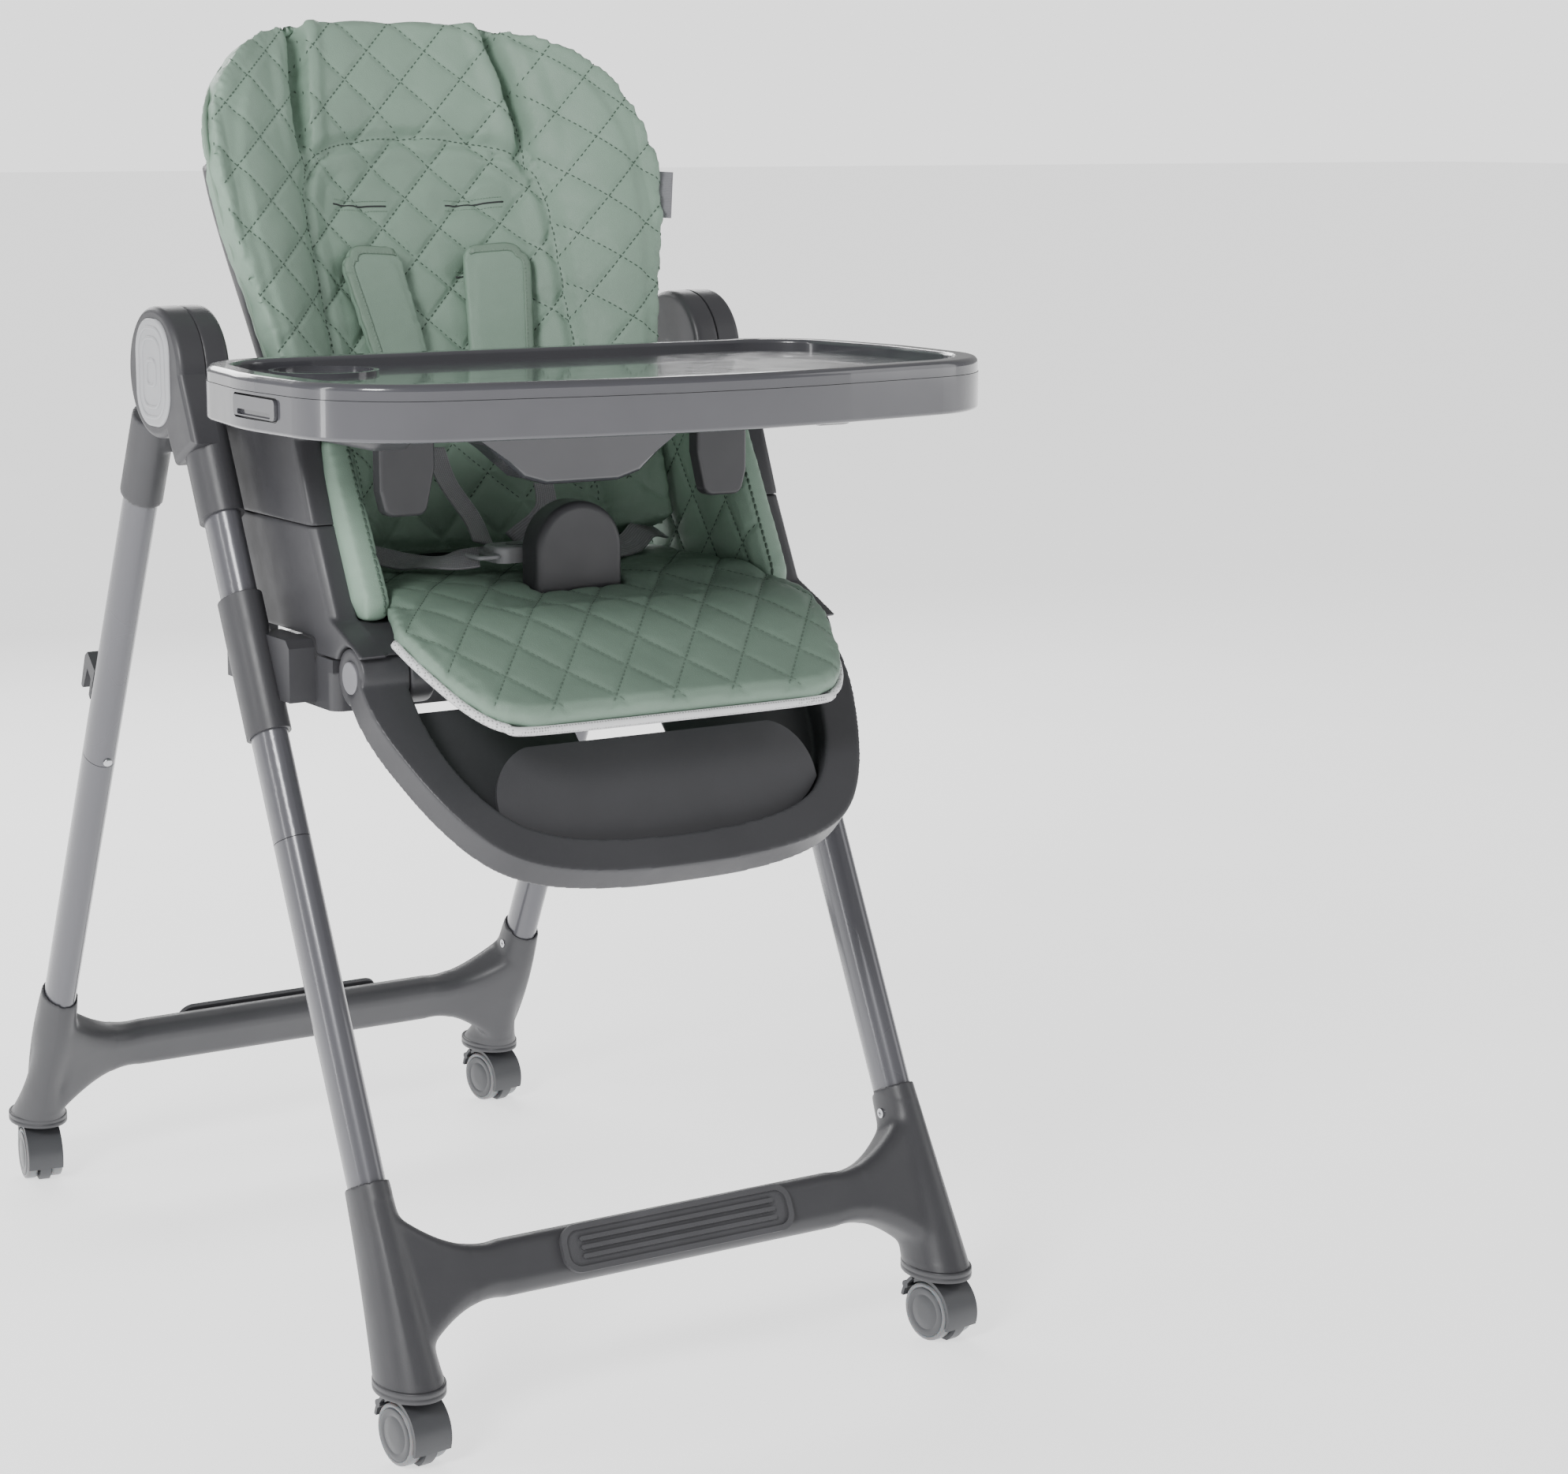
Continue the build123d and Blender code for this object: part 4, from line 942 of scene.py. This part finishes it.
def shape_sheet(place, normal):
    """The seat sheet's quilting, and a dip where it bends over the front edge."""
    a, s = sheet_flat(place)
    _, facing = sheet_point(0, s)
    turned = normal.dot(facing)
    if turned < 0.25:
        return Vector((0, 0, 0))
    rise = quilted(*seat_lines(a, s), 0.014, 0.0012, 0.0009)
    rise += 0.0016 * noise.noise(Vector((a * 15, s * 15, 5.0)))
    rise -= 0.0022 * groove(s - 0.19, 0.03)
    return facing * (rise * min(1.0, (turned - 0.25) / 0.4))


sculpt(seat, shape_sheet)
seat_tree = tree_of(seat)
bm = bmesh.new()
drops = [length * step / 160 for step in range(161)]
for way in (1, -1):
    for number in range(-12, 13):
        line = [(number * seat_quilt - way * s * diamond, s) for s in drops]
        for row in runs(line, lambda a, s: abs(a) < half_width(s) - 0.006 and 0.003 < s < length - 0.003):
            stitch_sheet(bm, row)
stitching = piece_from(bm, "seat_stitching", pale_thread, None, "green_leather")
# painted shade: the seat and calf sheet take a darker copy of the green leather, for the shade that falls on
# them under the tray
seat.data.materials[0] = leather("seat leather with painted shade", linear(121, 143, 128))
for piece in (seat, stitching):
    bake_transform(piece)

for side, word in ((1, "left"), (-1, "right")):
    name = f"side_pad_{word}"
    pad_low, pad_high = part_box(name)
    middle = (pad_low + pad_high) / 2
    facing = Vector((-side, 0, 0))
    pad = inflate(name, f"side_cushion_{word}", voxel=0.0044, cap=0.0045, fill=0.7)
    quilt_face(pad, lambda p: (p.y - middle.y, p.z - middle.z), facing, shift=0.012)
    pad_tree = tree_of(pad)
    bm = bmesh.new()
    face_x = pad_low.x if side > 0 else pad_high.x
    for row in face_rows(lambda a, b: Vector((face_x, middle.y + a, middle.z + b)), 0.092, 0.060, 0.012):
        stitch_row(bm, row, facing, pad_tree)
    seam_x = pad_low.x + 0.005 if side > 0 else pad_high.x - 0.005
    seam = [Vector((seam_x, pad_low.y - 0.01, pad_low.z + 0.008 + 0.006 * k)) for k in range(22)]
    stitch_row(bm, seam, Vector((0, -1, 0)), pad_tree, length=0.0050, pitch=0.0050, radius=0.0009, reach=0.12)
    piece_from(bm, f"side_stitching_{word}", thread, "seat_unit", "green_leather")

# white net trim under the calf cushion's edge
trim_half = [(0.1885, 0.213), (0.1835, 0.245), (0.1705, 0.285), (0.1595, 0.305), (0.1465, 0.317),
             (0.125, 0.3235), (0.0, 0.3245)]
trim_path = trim_half + [(-a, s) for a, s in reversed(trim_half[:-1])]
path = []
for a, s in trim_path:
    place = sheet_point(a * 0.985, s / drawn_length * length, -0.0148)[0]
    path.append(place + calf_down * max(0.0, s - drawn_length))
path = smooth_path(path, 8)
centre = calf_top + calf_down * 0.05
bm = bmesh.new()
hem = [(-0.0036, 0.0000), (-0.0032, 0.0024), (0.0, 0.0042), (0.0032, 0.0026), (0.0036, 0.0), (0.0, -0.0030)]
add_sweep(bm, path, hem, [(p - centre).normalized() for p in path])
piece_from(bm, "calf_net_trim", trim_net, "legrest", "webbing")

# ---------- lower harness and buckle
buckle_low, buckle_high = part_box("harness_buckle")
buckle = (buckle_low + buckle_high) / 2
for side, word in ((1, "left"), (-1, "right")):
    tip = Vector((buckle.x + side * 0.034, buckle.y, buckle.z - 0.002))
    lap = [hub(side * 0.160, -0.078, 0.636), hub(side * 0.135, -0.096, 0.640),
           hub(side * 0.10, -0.125, 0.632), Vector((tip.x + side * 0.022, tip.y + 0.012, tip.z - 0.003)), tip]
    band(f"lap_belt_{word}", lap, Vector((0, -0.55, 0.83)), 0.024, "seat_unit")
    tip = Vector((buckle.x + side * 0.014, buckle.y + 0.030, buckle.z + 0.004))
    drop = [hub(side * 0.046, -0.068, 0.716), hub(side * 0.044, -0.085, 0.690),
            hub(side * 0.034, -0.108, 0.662), tip]
    band(f"shoulder_belt_{word}", drop, Vector((0.18, -0.75, 0.62)), 0.020, "seat_unit")
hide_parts("lower_harness_straps")

bm = bmesh.new()
x_way, y_way, z_way = Vector((1, 0, 0)), Vector((0, 1, 0)), Vector((0, 0, 1))
for side in (1, -1):
    middle = Vector((buckle.x + side * 0.0325, buckle.y, buckle.z - 0.001))
    loop = rounded_loop(middle, x_way, y_way, 0.0085, 0.0155, 0.003)
    add_sweep(bm, loop, circle_section(0.0024, 8, 0.8), [z_way] * len(loop), closed=True)
loop = rounded_loop(Vector((buckle.x, buckle.y + 0.0235, buckle.z)), x_way, y_way, 0.026, 0.0075, 0.003)
add_sweep(bm, loop, circle_section(0.0022, 8, 0.8), [z_way] * len(loop), closed=True)
middle = Vector((buckle.x, buckle.y, buckle_high.z - 0.0004))
loop = rounded_loop(middle, x_way, y_way, 0.0195, 0.0125, 0.006)
add_sweep(bm, loop, circle_section(0.0008, 8), [z_way] * len(loop), closed=True)
piece_from(bm, "buckle_loops", looks["light_plastic"], "seat_unit", "light_plastic")

# ---------- mouldings with their edges and joins rounded over
def within(place, box):
    """Whether a place is inside a box given by two corners."""
    return all(low <= at <= high for low, high, at in zip(box[0], box[1], place))


def mould(node, voxel=0.0015, rounds=6, joins=()):
    """Stands for a CAD solid as the same shape with soft edges; joins are boxes smoothed much more."""
    source = nodes[node]
    slot = slot_of[node]
    made = add_piece(f"{node}_moulded", source.data.copy(), looks[slot], source["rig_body"], slot)
    remeshed(made, voxel, rounds)
    if joins:
        bm = bmesh.new()
        bm.from_mesh(made.data)
        soft = [v for v in bm.verts if any(within(v.co, join) for join in joins)]
        for _ in range(36):
            bmesh.ops.smooth_vert(bm, verts=soft, factor=0.5,
                                  use_axis_x=True, use_axis_y=True, use_axis_z=True)
        bm.to_mesh(made.data)
        bm.free()
    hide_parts(node)


for end in ("front", "rear"):
    low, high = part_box(f"{end}_crossbar")
    mould(f"{end}_crossbar", joins=[((-0.247, low.y, 0.068), (-0.178, high.y, 0.190)),
                                    ((0.178, low.y, 0.068), (0.247, high.y, 0.190))])
for node in ("hub_inner_left", "hub_inner_right", "legrest_frame"):
    mould(node)
for node in ("armrest_left", "armrest_right", "seat_base"):
    mould(node, voxel=0.0017, rounds=3)

# ---------- hub badges
for side, word in ((1, "left"), (-1, "right")):
    low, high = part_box(f"fold_button_{word}")
    face_x = high.x if side > 0 else low.x
    middle = Vector((face_x, (low.y + high.y) / 2, (low.z + high.z) / 2))
    half_w, half_h = (high.y - low.y) / 2, (high.z - low.z) / 2
    bm = bmesh.new()
    for width, height, corner in ((half_w - 0.0075, half_h - 0.0075, 0.020),
                                  (half_w - 0.0155, half_h - 0.0155, 0.013), (0.0090, 0.0100, 0.006)):
        loop = rounded_loop(middle, y_way, z_way, width, height, corner)
        add_sweep(bm, loop, circle_section(0.0017, 10, 0.6), [x_way * side] * len(loop), closed=True)
    piece_from(bm, f"badge_ridges_{word}", looks["light_plastic"], f"fold_button_{word}", "light_plastic")

# ---------- collars round the feet
corners = ("front_left", "front_right", "rear_left", "rear_right")
for place in corners:
    stem = Vector(joints[f"caster_swivel_{place}"]["pos_m"])
    bm = bmesh.new()
    profile = [(-0.0046, -0.0016), (-0.0046, 0.0003), (-0.0040, 0.0007), (-0.0014, 0.0008),
               (-0.0008, 0.0003), (0.0000, 0.0003), (0.0006, 0.0008), (0.0030, 0.0007),
               (0.0038, 0.0002), (0.0042, -0.0016)]
    half_x, half_y = 0.0250, 0.0340
    turns = [math.pi * k / 32 for k in range(64)]
    ring = [Vector((stem.x + half_x * math.cos(a), stem.y + half_y * math.sin(a), 0.0589)) for a in turns]
    ways = [Vector((math.cos(a) / half_x, math.sin(a) / half_y, 0)).normalized() for a in turns]
    add_sweep(bm, ring, profile, ways, closed=True)
    body = "front_frame" if "front" in place else "rear_frame"
    piece_from(bm, f"foot_collar_{place}", looks["frame_plastic"], body, "frame_plastic")

# ---------- caster wheels with pale tyres
for place in corners:
    roll = joints[f"caster_roll_{place}"]
    centre, axle = Vector(roll["pos_m"]), Vector(roll["axis"]).normalized()
    body = f"wheels_{place}"
    core = bmesh.new()
    tyres = bmesh.new()
    for side in (1, -1):
        way = axle * side
        disc = [(0.0, 0.0060), (0.0165, 0.0060), (0.0190, 0.0070), (0.0206, 0.0105), (0.0206, 0.0156),
                (0.0201, 0.0167), (0.0190, 0.0171), (0.0150, 0.0171), (0.0144, 0.0167), (0.0138, 0.0171),
                (0.0060, 0.0176), (0.0, 0.0177)]
        add_lathe(core, centre, way, disc)
        tread = [(0.0200, 0.0074), (0.0222, 0.0061), (0.0236, 0.0068), (0.0240, 0.0090),
                 (0.0240, 0.0142), (0.0236, 0.0160), (0.0222, 0.0168), (0.0200, 0.0162)]
        add_lathe(tyres, centre, way, tread)
    add_lathe(core, centre, axle, [(0.0, -0.0062), (0.0042, -0.0062), (0.0042, 0.0062), (0.0, 0.0062)], 24)
    bmesh.ops.remove_doubles(core, verts=core.verts, dist=0.00001)
    wheel = piece_from(core, f"wheel_core_{place}", looks["caster_wheel"], body, "caster_wheel")
    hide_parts(f"caster_wheels_{place}")
    piece_from(tyres, f"wheel_tyres_{place}", tyre_rubber, body, "caster_wheel")

# ---------- floor, light and camera
size = 60.0
mesh = bpy.data.meshes.new("floor")
mesh.from_pydata([(-size, -size, 0), (size, -size, 0), (size, size, 0), (-size, size, 0)], [], [(0, 1, 2, 3)])
mesh.materials.append(floor_paint.material)
floor = bpy.data.objects.new("floor", mesh)
scene.collection.objects.link(floor)

# a plain backdrop that is brighter to the camera than it is as a light
world = bpy.data.worlds.new("studio")
world.use_nodes = True
sky = world.node_tree.nodes["Background"]
sky.inputs["Color"].default_value = (1, 1, 1, 1)
sky.inputs["Strength"].default_value = 0.36
paper = world.node_tree.nodes.new("ShaderNodeBackground")
paper.inputs["Strength"].default_value = 2.3
seen = world.node_tree.nodes.new("ShaderNodeLightPath")
either = world.node_tree.nodes.new("ShaderNodeMixShader")
for source, target in ((seen.outputs["Is Camera Ray"], either.inputs["Fac"]),
                       (sky.outputs["Background"], either.inputs[1]),
                       (paper.outputs["Background"], either.inputs[2]),
                       (either.outputs["Shader"], world.node_tree.nodes["World Output"].inputs["Surface"])):
    world.node_tree.links.new(source, target)
scene.world = world


def soft_box(name, place, target, width, height, power):
    """A rectangular lamp at a place, turned to its target."""
    data = bpy.data.lights.new(name, "AREA")
    data.shape = "RECTANGLE"
    data.size, data.size_y, data.energy = width, height, power
    made = bpy.data.objects.new(name, data)
    made.location = place
    made.rotation_euler = (Vector(target) - Vector(place)).to_track_quat("-Z", "Y").to_euler()
    scene.collection.objects.link(made)


soft_box("key", (-2.5, -1.7, 2.3), (0, 0, 0.75), 0.9, 0.9, 72)
soft_box("fill", (2.6, -1.6, 1.6), (0, 0, 0.6), 1.2, 2.2, 14)
soft_box("rim", (0.5, 2.9, 1.85), (0, 0, 0.75), 3.4, 1.0, 66)
soft_box("strip", (-2.6, 0.3, 1.3), (0, 0, 0.7), 0.25, 2.2, 14)

camera_data = bpy.data.cameras.new("camera")
camera_data.sensor_width = 36.0
camera_data.lens = 74.19
camera_data.shift_x = 0.0503
camera = bpy.data.objects.new("camera", camera_data)
yaw, pitch, twist = 0.55441, 0.18789, 0.00078
camera.location = (-1.24506, -2.42414 + hub_y, 0.97665)
look = Vector((math.sin(yaw) * math.cos(pitch), math.cos(yaw) * math.cos(pitch), -math.sin(pitch)))
side = look.cross(Vector((0, 0, 1))).normalized()
over = side.cross(look)
right = side * math.cos(twist) + over * math.sin(twist)
above = -side * math.sin(twist) + over * math.cos(twist)
camera.rotation_euler = Matrix((right, above, -look)).transposed().to_euler()
scene.collection.objects.link(camera)
scene.camera = camera
